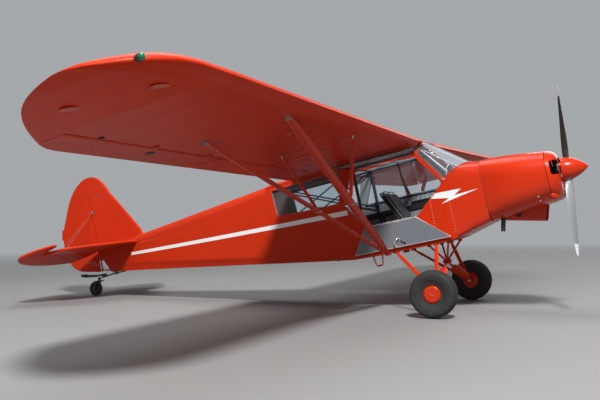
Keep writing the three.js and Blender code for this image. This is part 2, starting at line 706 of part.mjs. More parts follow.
// Cabin fittings
const panelOutline = [[-356, -40], [356, -40], [356, 66], [306, 124], [-306, 124], [-356, 66]];
const panelPlate = loft([292, 304].map((x) => panelOutline.map(([y, z]) => point(x, y, z))));
const panelCover = sidePrism([[295, 110], [295, 124], [420, 160], [420, 148]], -250, 250);
const bootWall = sheet(bootRings, 10 + seatGap, point(350, 0, -150), true);
addPiece('instrument_panel', cut(join(panelPlate, panelCover), bootWall), 'blackPaint');

function seat(cushion, back, half) {
  return join(sidePrism(cushion, -half, half), sidePrism(back, -half, half));
}

const seatTable = [
  { name: 'front_seat', x: -60, half: 225 },
  { name: 'rear_seat', x: -900, half: 240 },
];
seatTable.forEach(({ name, x, half }) => {
  const legTop = -310;
  const floorTop = gearPlane + floorThickness + seatGap;
  const cushion = [[x, -250], [x - 380, -275], [x - 380, legTop - 10], [x, legTop + 15]];
  const back = [[x - 320, -280], [x - 500, 130], [x - 550, 120], [x - 385, -300]];
  const legHeight = legTop + 30 - floorTop;
  const pedestal = box(100, 2 * half - 80, legHeight, x - 70, 0, floorTop + legHeight / 2);
  const tubeRoom = box(200, 44, 80, x - 70, 0, floorTop);
  addPiece(name, cut(join(seat(cushion, back, half), pedestal), tubeRoom), 'blackFabric');
});

const floorLevel = gearPlane + floorThickness + seatGap;
addPiece('control_sticks', join(
  rod(point(60, 0, floorLevel + 14), point(-760, 0, floorLevel + 14), 14, 10),
  rod(point(40, 0, floorLevel + 14), point(10, 0, -120), 11, 8),
  rod(point(-700, 0, floorLevel + 14), point(-690, 0, -130), 11, 8),
), 'blackPaint');

// Tube frame that shows through the windows, with a gusset block where tubes meet
const frameY = 318;
const frameYAt = (x) => Math.min(frameY, halfAt(x) - 48);
const frameNodes = {
  screenFoot: [150, 80], screenHead: [-110, 466], postFoot: [-840, floorLevel + 16], postMiddle: [-840, 6],
  postHead: [-840, 458], deckHead: [-1880, 434], deckFoot: [-1880, 2],
};
const frameTubes = [
  { from: 'screenFoot', to: 'screenHead', radius: 11 }, { from: 'screenHead', to: 'postHead', radius: 10 },
  { from: 'postHead', to: 'deckHead', radius: 10 }, { from: 'postFoot', to: 'postMiddle', radius: 11 },
  { from: 'postMiddle', to: 'postHead', radius: 11 }, { from: 'postMiddle', to: 'deckHead', radius: 9 },
  { from: 'postHead', to: 'deckFoot', radius: 8 },
];
const crossTubes = ['screenHead', 'postHead', 'deckHead', 'deckFoot'];
const framePoint = (name, sign) => {
  const [x, z] = frameNodes[name];
  return point(x, sign * frameYAt(x), z);
};
const gussets = sides.flatMap(({ sign }) => Object.keys(frameNodes).map((name) => {
  const p = framePoint(name, sign);
  return box(36, 34, 32, p.x, p.y, p.z);
}));
const sideTubes = sides.flatMap(({ sign }) => frameTubes.map(({ from, to, radius }) => (
  rod(framePoint(from, sign), framePoint(to, sign), radius, 8))));
const acrossTubes = crossTubes.map((name) => rod(framePoint(name, -1), framePoint(name, 1), 10, 8));
const overhead = [1, -1].map((sign) => (
  rod(framePoint('screenHead', sign), framePoint('postHead', -sign), sign > 0 ? 9 : 8, 8)));
addPiece('cabin_frame', join(...gussets, ...sideTubes, ...acrossTubes, ...overhead), 'blackPaint');

// Doors. The lower one hangs open against the fuselage side; the upper one is raised.
const doorThickness = 14;
const doorOffset = 5;
const hingePinRadius = 7;

const doorPin = ([from, to]) => rod(point(from, 0, 0), point(to, 0, 0), hingePinRadius, 12);

const lowerDoor = new THREE.Group();
lowerDoor.position.set(0, doorHingeY, sillZ);
lowerDoor.rotation.x = Math.PI;
airframe.add(lowerDoor);
const lowerOutline = doorOutline.map(([x, z]) => [x, z === sillZ ? 3 : z - sillZ - 4]);
const lowerLeaf = sidePrism(lowerOutline, doorOffset, doorOffset + doorThickness);
addPiece('lower_door', join(lowerLeaf, doorPin([-760, -260])), 'redMetal', lowerDoor);

const upperDoor = new THREE.Group();
upperDoor.position.set(0, doorHingeY, upperHingeZ);
upperDoor.rotation.x = -90 * degrees;
airframe.add(upperDoor);
const upperOutline = upperDoorOutline.map(([x, z]) => [x, Math.max(z, windowSillZ + 6) - upperHingeZ]);
const upperPane = grown(upperOutline.map(([x, z]) => [x, Math.min(z, -20)]), -34);
const upperLeaf = cut(
  sidePrism(upperOutline, doorOffset, doorOffset + doorThickness), sidePrism(upperPane, -20, 60));
const upperStraps = [-600, -360].map((x) => box(50, 7, 13, x, 6.5, -10.5));
addPiece('upper_door', join(upperLeaf, doorPin([-800, -160]), ...upperStraps), 'blackPaint', upperDoor);

// Lift struts, jury struts
const strutFoot = (side) => point(rearGearX, side.sign * (gearFittingY + 22), gearPlane - 16);
const frontStrutTop = (side) => onWing(side, -190, 3020, 10);
const rearStrutTop = (side) => onWing(side, -955, 3020, 10);
const juryShare = 0.46;

sides.forEach((side) => {
  const foot = strutFoot(side);
  const wing = belowWing(side);
  const clevis = box(70, 40, 26, rearGearX, side.sign * (gearFittingY + 12), gearPlane - 13 - seatGap);
  const struts = join(
    strut(foot, frontStrutTop(side), 92, 38), strut(foot, rearStrutTop(side), 66, 30), clevis);
  const aboveBelly = box(400, 300, 60, rearGearX, side.sign * 300, gearPlane + 30 - seatGap);
  addPiece(`lift_struts_${side.name}`, cut(struts, wing, aboveBelly), 'redMetal');

  const fronts = foot.clone().lerp(frontStrutTop(side), juryShare);
  const rears = foot.clone().lerp(rearStrutTop(side), juryShare);
  const up = point(0, 0, 1);
  const frontLow = fronts.clone().addScaledVector(up, 22);
  const rearLow = rears.clone().addScaledVector(up, 18);
  const frontTop = onWing(side, -190, 1600, 10);
  const rearTop = onWing(side, -955, 1600, 10);
  const frame = join(rod(frontLow, frontTop, 13), rod(rearLow, rearTop, 11), rod(frontLow, rearLow, 9));
  const keepOff = [strut(foot, frontStrutTop(side), 92.8, 38.8), strut(foot, rearStrutTop(side), 66.8, 30.8)];
  addPiece(`jury_struts_${side.name}`, cut(frame, wing, ...keepOff), 'redMetal');
});

// Main gear: two vees, a centre cabane and two sprung struts
const legEndY = wheelTrack / 2 - tyreWidth / 2 - 22;
const axleEnd = (side) => point(axleX, side.sign * legEndY, axleZ);
const cabaneApex = point(axleX - 20, 0, -790);

// With a margin, the same tubes serve to trim what is bolted to them
function gearTubes(side, margin = 0) {
  const s = side.sign;
  const front = point(frontGearX, s * gearFittingY, gearPlane - 12);
  const rear = point(rearGearX + 96, s * gearFittingY, gearPlane - 12);
  const axleFrom = point(axleX, s * (legEndY - 20 - margin), axleZ);
  const axleTo = point(axleX, s * (wheelTrack / 2 + 58 + margin), axleZ);
  return {
    feet: [front, rear],
    tubes: [
      strut(front, axleEnd(side), 44 + 2 * margin, 26 + 2 * margin),
      strut(rear, axleEnd(side), 40 + 2 * margin, 24 + 2 * margin),
      rod(axleFrom, axleTo, 17 + margin, 14),
    ],
  };
}

const cabaneFeet = [[70, 290], [-150, 290], [70, -290], [-150, -290]];

function cabaneTubes(margin = 0) {
  const boltEnds = [-46, 46].map((x) => cabaneApex.clone().add(point(x + Math.sign(x) * margin, 0, 0)));
  return [
    ...cabaneFeet.map(([x, y]) => rod(point(x, y, gearPlane - 10), cabaneApex, 12 + margin, 8)),
    rod(...boltEnds, 20 + margin, 12),
  ];
}

sides.forEach((side) => {
  const { feet, tubes } = gearTubes(side);
  const pads = feet.map((p) => box(54, 34, 20, p.x, p.y, gearPlane - seatGap - 10));
  const belly = box(900, 200, 60, -300, side.sign * gearFittingY, gearPlane + 30 - seatGap);
  addPiece(`gear_leg_${side.name}`, cut(join(...tubes, ...pads), belly), 'redMetal');
});

const cabanePads = cabaneFeet.map(([x, y]) => box(44, 34, 20, x, y, gearPlane - seatGap - 10));
const cabaneBelly = box(400, 700, 60, -40, 0, gearPlane + 30 - seatGap);
addPiece('cabane', cut(join(...cabaneTubes(), ...cabanePads), cabaneBelly), 'redMetal');

sides.forEach((side) => {
  const s = side.sign;
  const inner = cabaneApex.clone().add(point(0, s * 12, -4));
  const outer = point(axleX, s * (legEndY - 10), axleZ + 14);
  const along = outer.clone().sub(inner);
  const at = (share) => inner.clone().addScaledVector(along, share);
  const coverRings = [[0.3, 30, 30], [0.36, 52, 44], [0.8, 60, 48], [0.9, 40, 36]];
  const cover = loft(coverRings.map(([share, wide, deep]) => (
    Array.from({ length: 12 }, (_, i) => {
      const angle = (i / 12) * 2 * Math.PI;
      return at(share).add(point(wide * Math.cos(angle), 0, deep * Math.sin(angle)));
    }))));
  const keepOff = [...gearTubes(side, 0.4).tubes, ...cabaneTubes(0.4)];
  const sprung = solidOf(cut(join(rod(inner, outer, 15, 10), cover), ...keepOff)).decompose();
  const largest = sprung.reduce((best, next) => (next.volume() > best.volume() ? next : best));
  addPiece(`shock_strut_${side.name}`, geometryOf(largest), 'redFabric');
});

// Wheels
const tyreProfile = [
  [112, -62], [150, -88], [196, -98], [228, -84], [242, -50], [tyreRadius, 0], [242, 50], [228, 84],
  [196, 98], [150, 88], [112, 62], [106, 0], [112, -62],
];
const rimProfile = [
  [17.6, -60], [60, -60], [92, -66], [111, -61], [105, 0], [111, 61], [92, 66], [60, 66], [17.6, 60],
  [17.6, -60],
];
sides.forEach((side) => {
  const wheel = new THREE.Group();
  wheel.position.set(axleX, (side.sign * wheelTrack) / 2, axleZ);
  airframe.add(wheel);
  addPiece(`tyre_${side.name}`, lathe(tyreProfile, 32).rotateY(parkedPitch), 'rubber', wheel);
  const cap = new THREE.CylinderGeometry(96, 96, 22, 24).translate(0, side.sign * 70, 0);
  const rim = join(lathe(rimProfile, 24), cap);
  addPiece(`wheel_${side.name}`, rim, 'redMetal', wheel);
});

// Tail surfaces
const finOutline = [
  [-4095, 372], [-4115, 420], [-4300, 705], [-4503, 994], [-4885, 1000], [-4885, 300], [-4780, 318]];
const rudderOutline = [
  [rudderHingeX, -30], [-5150, 14], [-5245, 40], [-5345, 105], [-5415, 215], [-5452, 390], [-5458, 540],
  [-5425, 660],
  [-5362, 790], [-5285, 955], [-5205, 1085], [-5115, 1185], [-5000, 1265], [-4880, 1303], [-4780, 1300],
  [-4690, 1262], [-4610, 1180], [-4550, 1085], [-4520, 1014], [rudderHingeX, 1014],
];
const upright = (geometry) => geometry.rotateX(Math.PI / 2);
const finPlate = upright(roundedPlate(finOutline, 34, 10));
const deckTool = loft(rearStations.map((row) => rearRing({
  ...row, x: row.x + (row.x === sternX ? -60 : 0), half: row.half + seatGap, top: row.top + 0.4,
  shoulder: row.shoulder + 0.4,
})));
const rudderTubeRadius = 12;
const lugEndX = rudderHingeX + rudderTubeRadius + seatGap;
const finLugs = [480, 900].map((z) => box(40, 14, 44, lugEndX + 20, 0, z));
addPiece('fin', cut(join(finPlate, ...finLugs), deckTool, torqueTubeSlot), 'redFabric');
const rudderTube = rod(point(rudderHingeX, 0, -30), point(rudderHingeX, 0, 1018), rudderTubeRadius, 12);
addPiece('rudder', join(upright(roundedPlate(rudderOutline, 34, 10)), rudderTube), 'redFabric');

// The elevator's tip reaches round the end of the stabilizer as a balance horn
const stabilizerOutline = [
  [-4120, 0], [-4128, 160], [-4215, 520], [-4345, 880], [-4432, 1050], [-4480, 1112], [-4520, stabilizerTipY],
  [elevatorHingeX + 22, stabilizerTipY], [elevatorHingeX + 22, 0],
];
const elevatorOutline = [
  [elevatorHingeX, 58], [-4925, 76], [-5060, 136], [-5205, 262], [-5228, 500], [-5222, 720], [-5192, 945],
  [-5150, 1130], [-5088, 1288], [-5012, 1398], [-4940, 1447], [-4866, tailHalfSpan], [-4790, 1436],
  [-4700, 1382], [-4640, 1322], [-4592, 1245], [-4566, 1190], [-4560, stabilizerTipY + hornGap + 8],
  [-4572, stabilizerTipY + hornGap],
  [elevatorHingeX, stabilizerTipY + hornGap],
];
const mirrorY = (outline, sign) => outline.map(([x, y]) => [x, sign * y]);
const tailHull = loft(rearStations.map((row) => rearRing({ ...row, half: row.half + seatGap })));

const hingeTubeRadius = 15;
const stabilizerLugs = [260, 680, 1080];

sides.forEach((side) => {
  const panel = roundedPlate(mirrorY(stabilizerOutline, side.sign), 34, 10).translate(0, 0, tailPlaneZ);
  const lugEnd = elevatorHingeX + hingeTubeRadius + seatGap;
  const lugs = stabilizerLugs.map((y) => box(40, 40, 12, lugEnd + 20, side.sign * y, tailPlaneZ));
  const plate = join(panel, ...lugs);
  const finTool = box(900, 35, 300, -4500, 0, tailPlaneZ + 40);
  const otherSide = box(1000, 400, 200, -4500, -side.sign * 200, tailPlaneZ);
  addPiece(`stabilizer_${side.name}`, cut(plate, tailHull, finTool, otherSide), 'redFabric');
});

const elevatorHinge = new THREE.Group();
elevatorHinge.position.set(elevatorHingeX, 0, tailPlaneZ);
elevatorHinge.rotation.y = -elevatorDroop;
airframe.add(elevatorHinge);
const elevatorHalves = sides.map(({ sign }) => {
  const moved = elevatorOutline.map(([x, y]) => [x - elevatorHingeX, sign * y]);
  const nose = rod(point(0, sign * 58, 0), point(0, sign * (tailHalfSpan - 14), 0), hingeTubeRadius, 12);
  return join(roundedPlate(moved, 30, 9), nose);
});
const torqueTube = rod(point(0, -80, 0), point(0, 80, 0), hingeTubeRadius - 1, 12);
addPiece('elevators', join(...elevatorHalves, torqueTube), 'redFabric', elevatorHinge);

// Stay wires brace the stabilizer to the fin above and to the fuselage below
const stayOuter = [[-4560, 1000], [-4790, 860]];
const stayRadius = 3;
const upperRoot = point(-4856, 18 + seatGap, 812);
const lowerRoot = point(-4640, 52, -66);

function stays(root, level, rootPlate) {
  return sides.map(({ sign }) => {
    const start = point(root.x, sign * root.y, root.z);
    const wires = stayOuter.map(([x, y]) => rod(start, point(x, sign * y, level), stayRadius, 6));
    return join(...wires, rootPlate(sign));
  });
}

const upperStays = stays(upperRoot, tailPlaneZ + 17 + seatGap, (sign) => (
  box(46, 12, 26, upperRoot.x, sign * (17 + seatGap + 6), upperRoot.z)));
const lowerStays = stays(lowerRoot, tailPlaneZ - 17 - seatGap, (sign) => (
  box(46, 24, 10, lowerRoot.x, sign * 46, lowerRoot.z - 4)));
sides.forEach((side, i) => {
  const skin = roundedPlate(mirrorY(stabilizerOutline, side.sign), 34 + 2 * seatGap, 10)
    .translate(0, 0, tailPlaneZ);
  const guards = [skin, tailHull];
  const finGuard = box(60, 35, 60, upperRoot.x, 0, upperRoot.z);
  addPiece(`upper_stays_${side.name}`, cut(upperStays[i], skin, finGuard), 'steel');
  addPiece(`lower_stays_${side.name}`, cut(lowerStays[i], ...guards), 'steel');
});

// Tailwheel: leaf spring, steered fork and wheel
const springLine = [[-4480, -87], [-4600, -85], [-4760, -92], [-4880, -108], [-4960, -120]];
const springSolid = loft(springLine.map(([x, z]) => [
  point(x, 20, z), point(x, -20, z), point(x, -20, z - 14), point(x, 20, z - 14)]));
const steer = new THREE.Group();
steer.position.set(-4950, 0, -150);
steer.rotation.y = parkedPitch;
airframe.add(steer);
steer.updateMatrix();
// The steering housing stands upright on the end of the spring
const housing = new THREE.CylinderGeometry(18, 18, 50, 12).rotateX(Math.PI / 2)
  .translate(0, 0, 6 + seatGap + 25).applyMatrix4(steer.matrix);
const springBracket = box(60, 40, 60, -4650, 0, -78);
addPiece('tail_spring', cut(join(springSolid, springBracket, housing), tailHull), 'blackPaint');

// The tow release: an arm on top of the spring that carries a jaw aft, under the rudder
const towProfile = [
  [-4815, -99.3 + seatGap], [-4815, -66], [-4957, -59], [-5120, -34], [-5165, -16], [-5235, -13],
  [-5240, -40], [-5178, -62], [-5000, -86], [-4890, -86], [-4875, -107.3 + seatGap],
];
const towJaw = sidePrism([[-5168, -20], [-5232, -17], [-5236, -38], [-5178, -56]], -24, 24);
addPiece('tow_release', join(sidePrism(towProfile, -15, 15), towJaw), 'blackPaint');

const toSteer = (x, y, z) => point(x, y, z).sub(steer.position)
  .applyEuler(new THREE.Euler(0, -parkedPitch, 0));
const tailAxle = toSteer(tailAxleX, 0, tailAxleZ);
const forkCheeks = [1, -1].map((sign) => join(
  rod(point(tailAxle.x * 0.2, sign * 44, -6), point(tailAxle.x, sign * 44, tailAxle.z), 7, 8),
  rod(point(tailAxle.x, sign * 48, tailAxle.z), point(tailAxle.x, sign * (24 + seatGap), tailAxle.z), 9, 8),
));
const forkCrown = box(44, 102, 12, 2, 0, -4);
const steerArm = box(26, 210, 8, -6, 0, 2);
addPiece('tailwheel_fork', join(forkCrown, steerArm, ...forkCheeks), 'blackPaint', steer);
const tailProfile = [
  [9, -24], [60, -24], [80, -30], [94, -24], [tailTyreRadius, 0], [94, 24], [80, 30], [60, 24], [9, 24],
  [9, -24],
];
addPiece('tail_wheel', lathe(tailProfile, 24).translate(tailAxle.x, 0, tailAxle.z), 'rubber', steer);

// Boarding step under the right side
const stepPath = [[-700, 0], [-716, -118], [-792, -118], [-812, 0]];
const stepPoint = ([x, z]) => point(x, -300, gearPlane - seatGap + z);
const stepRods = stepPath.slice(1).map((end, i) => rod(stepPoint(stepPath[i]), stepPoint(end), 8, 8));
const aboveStep = box(300, 60, 40, -750, -300, gearPlane + 20 - seatGap);
addPiece('boarding_step', cut(join(...stepRods), aboveStep), 'redMetal');

// Stand the aircraft on the floor, over the middle of its own box
aircraft.updateMatrixWorld(true);
const extent = new THREE.Box3().setFromObject(aircraft, true);
const middle = extent.getCenter(point());
aircraft.position.set(-middle.x, -middle.y, -extent.min.z);
aircraft.updateMatrixWorld(true);

export default aircraft;
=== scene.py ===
# The looks of a parked two-seat light aircraft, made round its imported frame.
# Metres. A piece is drawn in the airframe's own axes, x forward from the wing's leading edge,
# y to port and z up, and then stood nose up in the frame.
import json
from bisect import bisect_right
from math import cos, pi, radians, sin, sqrt

import bmesh
import bpy
from mathutils import Matrix, Vector


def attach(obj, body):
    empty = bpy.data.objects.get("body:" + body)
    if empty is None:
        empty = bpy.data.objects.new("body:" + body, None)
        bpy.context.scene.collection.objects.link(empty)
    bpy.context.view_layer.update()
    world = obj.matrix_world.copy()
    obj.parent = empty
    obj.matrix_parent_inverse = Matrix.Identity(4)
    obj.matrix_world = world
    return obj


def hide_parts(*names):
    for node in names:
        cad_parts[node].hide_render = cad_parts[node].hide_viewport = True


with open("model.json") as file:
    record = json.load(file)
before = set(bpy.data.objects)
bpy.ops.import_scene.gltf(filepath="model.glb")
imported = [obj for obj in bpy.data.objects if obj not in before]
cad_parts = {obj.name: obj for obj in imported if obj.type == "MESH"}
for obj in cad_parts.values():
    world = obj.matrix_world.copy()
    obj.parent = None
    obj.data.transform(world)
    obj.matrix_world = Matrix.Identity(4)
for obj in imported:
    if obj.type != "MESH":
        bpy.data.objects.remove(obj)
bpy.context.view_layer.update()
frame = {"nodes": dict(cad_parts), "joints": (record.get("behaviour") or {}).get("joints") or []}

joints = {joint["name"]: joint for joint in frame["joints"]}
attitude = {"noseUp": radians(11.2), "rudderPost": Vector((-4.905, 0, 0))}
turnUp = Matrix.Rotation(-attitude["noseUp"], 4, "Y")
toRow = Matrix.Translation(
    Vector(joints["rudder_turn"]["pos_m"]) - turnUp @ attitude["rudderPost"]) @ turnUp
sides = {"left": 1, "right": -1}


# Numbers and outlines
def lerp(a, b, share):
    return a + (b - a) * share


def steps(count, start=0.0, end=1.0):
    return [lerp(start, end, i / (count - 1)) for i in range(count)]


def turns(count):
    return [2 * pi * i / count for i in range(count)]


# A smooth row between the rows of a table whose first column rises; it never overshoots
def smoothRow(table, key):
    last = len(table) - 1
    i = min(max(bisect_right([row[0] for row in table], key) - 1, 0), last - 1)
    span = table[i + 1][0] - table[i][0]
    t = min(max((key - table[i][0]) / span, 0), 1)

    def slope(k, column):
        def between(m):
            return (table[m + 1][column] - table[m][column]) / (table[m + 1][0] - table[m][0])
        if k in (0, last):
            return between(0 if k == 0 else last - 1)
        before, after = between(k - 1), between(k)
        return 0 if before * after <= 0 else 2 * before * after / (before + after)

    row = []
    for column in range(1, len(table[0])):
        a, b = table[i][column], table[i + 1][column]
        ma, mb = slope(i, column) * span, slope(i + 1, column) * span
        row.append(a + ma * t + (3 * (b - a) - 2 * ma - mb) * t ** 2 + (2 * (a - b) + ma + mb) * t ** 3)
    return row


# Moves every edge of a flat outline outwards by the margin
def grown(outline, margin):
    count = len(outline)
    area = sum(outline[i - 1][0] * outline[i][1] - outline[i][0] * outline[i - 1][1] for i in range(count))
    turn = 1 if area > 0 else -1

    def normal(a, b):
        along = (Vector(b) - Vector(a)).normalized()
        return Vector((along.y * turn, -along.x * turn))

    moved = []
    for i, corner in enumerate(outline):
        before, after = normal(outline[i - 1], corner), normal(corner, outline[(i + 1) % count])
        moved.append(tuple(Vector(corner) + (before + after) * (margin / (1 + before.dot(after)))))
    return moved


# Rounds the corners of a path or of a closed outline
def rounded(path, radius, count=4, closed=False):
    points = [Vector(p) for p in path]
    made = [] if closed else [points[0]]
    for i in range(len(points)) if closed else range(1, len(points) - 1):
        before, here, after = points[i - 1], points[i], points[(i + 1) % len(points)]
        reach = min(radius, (here - before).length * 0.48, (after - here).length * 0.48)
        start = here + (before - here).normalized() * reach
        end = here + (after - here).normalized() * reach
        made += [start * (1 - t) ** 2 + here * (2 * t * (1 - t)) + end * t ** 2 for t in steps(count + 1)]
    return made if closed else made + [points[-1]]


# Evenly smooth points through a few points
def through(path, count):
    points = [Vector(p) for p in path]
    table = [[i, *point] for i, point in enumerate(points)]

    def at(key):
        i = min(int(key), len(points) - 2)
        t = key - i
        p = [points[min(max(k, 0), len(points) - 1)] for k in range(i - 1, i + 3)]
        return 0.5 * (2 * p[1] + (p[2] - p[0]) * t + (2 * p[0] - 5 * p[1] + 4 * p[2] - p[3]) * t ** 2
                      + (3 * p[1] - p[0] - 3 * p[2] + p[3]) * t ** 3)
    return [at(key) for key in steps(count, 0, len(table) - 1)]


# A profile of radius and width carried on to its other side
def bothSides(profile, first=1):
    return profile + [(r, -w) for r, w in reversed(profile[first:-1])]


# An outline in x and z stands upright, raised along y
def upright(x, z, y):
    return Vector((x, y, z))


# Corners and faces gathered in one set of axes
class Form:
    def __init__(self, place=None):
        self.place = toRow if place is None else place
        self.points, self.faces, self.paints = [], [], []

    def add(self, points, faces, paint=0):
        start = len(self.points)
        self.points += [self.place @ Vector(p) for p in points]
        self.faces += [[start + i for i in face] for face in faces]
        self.paints += [paint] * len(faces)

    def loft(self, rings, paint=0, round=True, ends="capped"):
        count, rows = len(rings[0]), len(rings)
        faces = []
        for i in range(rows if ends == "joined" else rows - 1):
            for j in range(count if round else count - 1):
                a, b = i * count + j, i * count + (j + 1) % count
                c, d = ((i + 1) % rows) * count + (j + 1) % count, ((i + 1) % rows) * count + j
                faces.append((a, b, c, d))
        if ends == "capped":
            faces += [tuple(reversed(range(count))), tuple((rows - 1) * count + j for j in range(count))]
        self.add([p for ring in rings for p in ring], faces, paint)

    # A sheet of even thickness on a grid of points, thickened towards the inside point
    def sheet(self, grid, thickness, inside, paint=0, wrap=False):
        grid = [[Vector(p) for p in row] for row in grid]
        rows, columns = len(grid), len(grid[0])

        def normal(i, j):
            left = (j - 1) % columns if wrap else max(j - 1, 0)
            right = (j + 1) % columns if wrap else min(j + 1, columns - 1)
            across = grid[i][right] - grid[i][left]
            along = grid[min(i + 1, rows - 1)][j] - grid[max(i - 1, 0)][j]
            out = across.cross(along).normalized()
            return out if out.dot(grid[i][j] - Vector(inside)) > 0 else -out

        outer = [p for row in grid for p in row]
        inner = [p - normal(i, j) * thickness for i, row in enumerate(grid) for j, p in enumerate(row)]
        under, spans, faces = len(outer), columns if wrap else columns - 1, []
        for i in range(rows - 1):
            for j in range(spans):
                a, b = i * columns + j, i * columns + (j + 1) % columns
                faces += [(a, b, b + columns, a + columns),
                          (under + a, under + a + columns, under + b + columns, under + b)]
        for j in range(spans):
            k, end = (j + 1) % columns, (rows - 1) * columns
            faces += [(k, j, under + j, under + k), (end + j, end + k, under + end + k, under + end + j)]
        if not wrap:
            for i in range(rows - 1):
                a, b = i * columns, (i + 1) * columns - 1
                faces += [(a, a + columns, under + a + columns, under + a),
                          (b + columns, b, under + b, under + b + columns)]
        self.add(outer + inner, faces, paint)

    def tube(self, path, radius, count=10, paint=0, ends="capped"):
        path = [Vector(p) for p in path]
        closed = ends == "joined"
        up, rings = (path[1] - path[0]).orthogonal().normalized(), []
        for i, point in enumerate(path):
            after = path[(i + 1) % len(path)] if closed else path[min(i + 1, len(path) - 1)]
            before = path[i - 1] if closed else path[max(i - 1, 0)]
            ahead = (after - before).normalized()
            up = (up - ahead * up.dot(ahead)).normalized()
            side = ahead.cross(up)
            r = radius(i / (len(path) - 1)) if callable(radius) else radius
            rings.append([point + (up * cos(a) + side * sin(a)) * r for a in turns(count)])
        self.loft(rings, paint, ends=ends)

    def rod(self, start, end, radius, count=12, paint=0):
        self.tube([start, end], radius, count, paint)

    # A profile of radius and height turned about an axis; it starts and ends on the axis,
    # or closes on itself
    def lathe(self, profile, centre, axis, count=32, paint=0, joined=False):
        axis = Vector(axis).normalized()
        u = axis.orthogonal().normalized()
        v = axis.cross(u)
        rings = [[Vector(centre) + axis * height + (u * cos(a) + v * sin(a)) * max(radius, 1e-5)
                  for a in turns(count)]
                 for radius, height in profile]
        self.loft(rings, paint, ends="joined" if joined else "capped")

    # A flat outline raised from low to high with its rims eased; at(u, v, w) gives the point
    def slab(self, outline, low, high, at, rim=0.0, paint=0):
        if rim:
            slim = grown([tuple(p)[:2] for p in outline], -rim)
            layers = [(slim, low), (outline, low + rim), (outline, high - rim), (slim, high)]
        else:
            layers = [(outline, low), (outline, high)]
        self.loft([[at(p[0], p[1], level) for p in ring] for ring, level in layers], paint)

    # A flat frame between two outlines of equally many points
    def border(self, outer, inner, low, high, at, paint=0, rim=0.0):
        middle = [((a[0] + b[0]) / 2, (a[1] + b[1]) / 2) for a, b in zip(outer, inner)]
        top = [(outer, high), (inner, high)]
        if rim:
            top = [(outer, high - rim), (middle, high), (inner, high - rim)]
        layers = [(outer, low), *top, (inner, low)]
        self.loft([[at(p[0], p[1], level) for p in ring] for ring, level in layers], paint, ends="joined")

    def block(self, size, centre, rim=0.0, paint=0, turn=None):
        half = [s / 2 for s in size]
        turn = turn or Matrix.Identity(4)
        outline = [(-half[0], -half[1]), (half[0], -half[1]), (half[0], half[1]), (-half[0], half[1])]
        if rim:
            outline = [(p.x, p.y) for p in rounded([Vector(p) for p in outline], rim * 1.6, 2, closed=True)]
        self.slab(outline, -half[2], half[2], lambda u, v, w: Vector(centre) + turn @ Vector((u, v, w)),
                  rim, paint)


def evaluated(piece):
    bpy.context.view_layer.update()
    return bpy.data.meshes.new_from_object(piece.evaluated_get(bpy.context.evaluated_depsgraph_get()))


# Leaves the result of a piece's modifiers as its own mesh
def settle(piece):
    mesh, old = evaluated(piece), piece.data
    piece.modifiers.clear()
    piece.data = mesh
    bpy.data.meshes.remove(old)
    return piece


# Joins corners that touch, and turns every face outwards
def weld(mesh):
    edit = bmesh.new()
    edit.from_mesh(mesh)
    bmesh.ops.remove_doubles(edit, verts=edit.verts, dist=2e-5)
    bmesh.ops.recalc_face_normals(edit, faces=edit.faces)
    edit.to_mesh(mesh)
    edit.free()


def addObject(name, data):
    made = bpy.data.objects.new(name, data)
    bpy.context.scene.collection.objects.link(made)
    return made


def rawPiece(form, name, paints=()):
    mesh = bpy.data.meshes.new(name)
    mesh.from_pydata(form.points, [], form.faces)
    mesh.polygons.foreach_set("material_index", form.paints)
    weld(mesh)
    for paint in paints:
        mesh.materials.append(paint.material)
    return addObject(name, mesh)


# Gives a finished piece its shading and the body that it rides
def place(piece, body, slot, replaces=(), sharp=38):
    piece.data.shade_smooth()
    piece.data.set_sharp_from_angle(angle=radians(sharp))
    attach(piece, body)
    if replaces:
        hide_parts(*replaces)
    return piece


# A piece from a form, less the forms that cut it
def makePiece(form, name, paints, slot, replaces=(), body="airframe", sharp=38, cutters=()):
    paints = paints if isinstance(paints, (list, tuple)) else [paints]
    piece = rawPiece(form, name, paints)
    tools = [rawPiece(cutter, "cutter") for cutter in cutters]
    for tool in tools:
        cut = piece.modifiers.new("cut", "BOOLEAN")
        cut.operation, cut.solver, cut.object = "DIFFERENCE", "EXACT", tool
    if tools:
        settle(piece)
    for tool in tools:
        bpy.data.objects.remove(tool)
    return place(piece, body, slot, replaces, sharp)


# One value on its way through a material's nodes; arithmetic on it becomes Math nodes
class Flow:
    def __init__(self, paint, socket):
        self.paint, self.socket = paint, socket

    def math(self, operation, *terms):
        return self.paint.node("Math", {"operation": operation}, dict(enumerate(terms)))

    def __add__(self, other):
        return self.math("ADD", self, other)

    def __sub__(self, other):
        return self.math("SUBTRACT", self, other)

    def __rsub__(self, other):
        return self.math("SUBTRACT", other, self)

    def __mul__(self, other):
        return self.math("MULTIPLY", self, other)

    def __truediv__(self, other):
        return self.math("DIVIDE", self, other)

    def __pow__(self, other):
        return self.math("POWER", self, other)

    def __abs__(self):
        return self.math("ABSOLUTE", self)

    def __gt__(self, other):
        return self.math("GREATER_THAN", self, other)

    def __lt__(self, other):
        return self.math("LESS_THAN", self, other)

    __radd__ = __add__
    __rmul__ = __mul__

    def most(self, other):
        return self.math("MAXIMUM", self, other)

    def least(self, other):
        return self.math("MINIMUM", self, other)


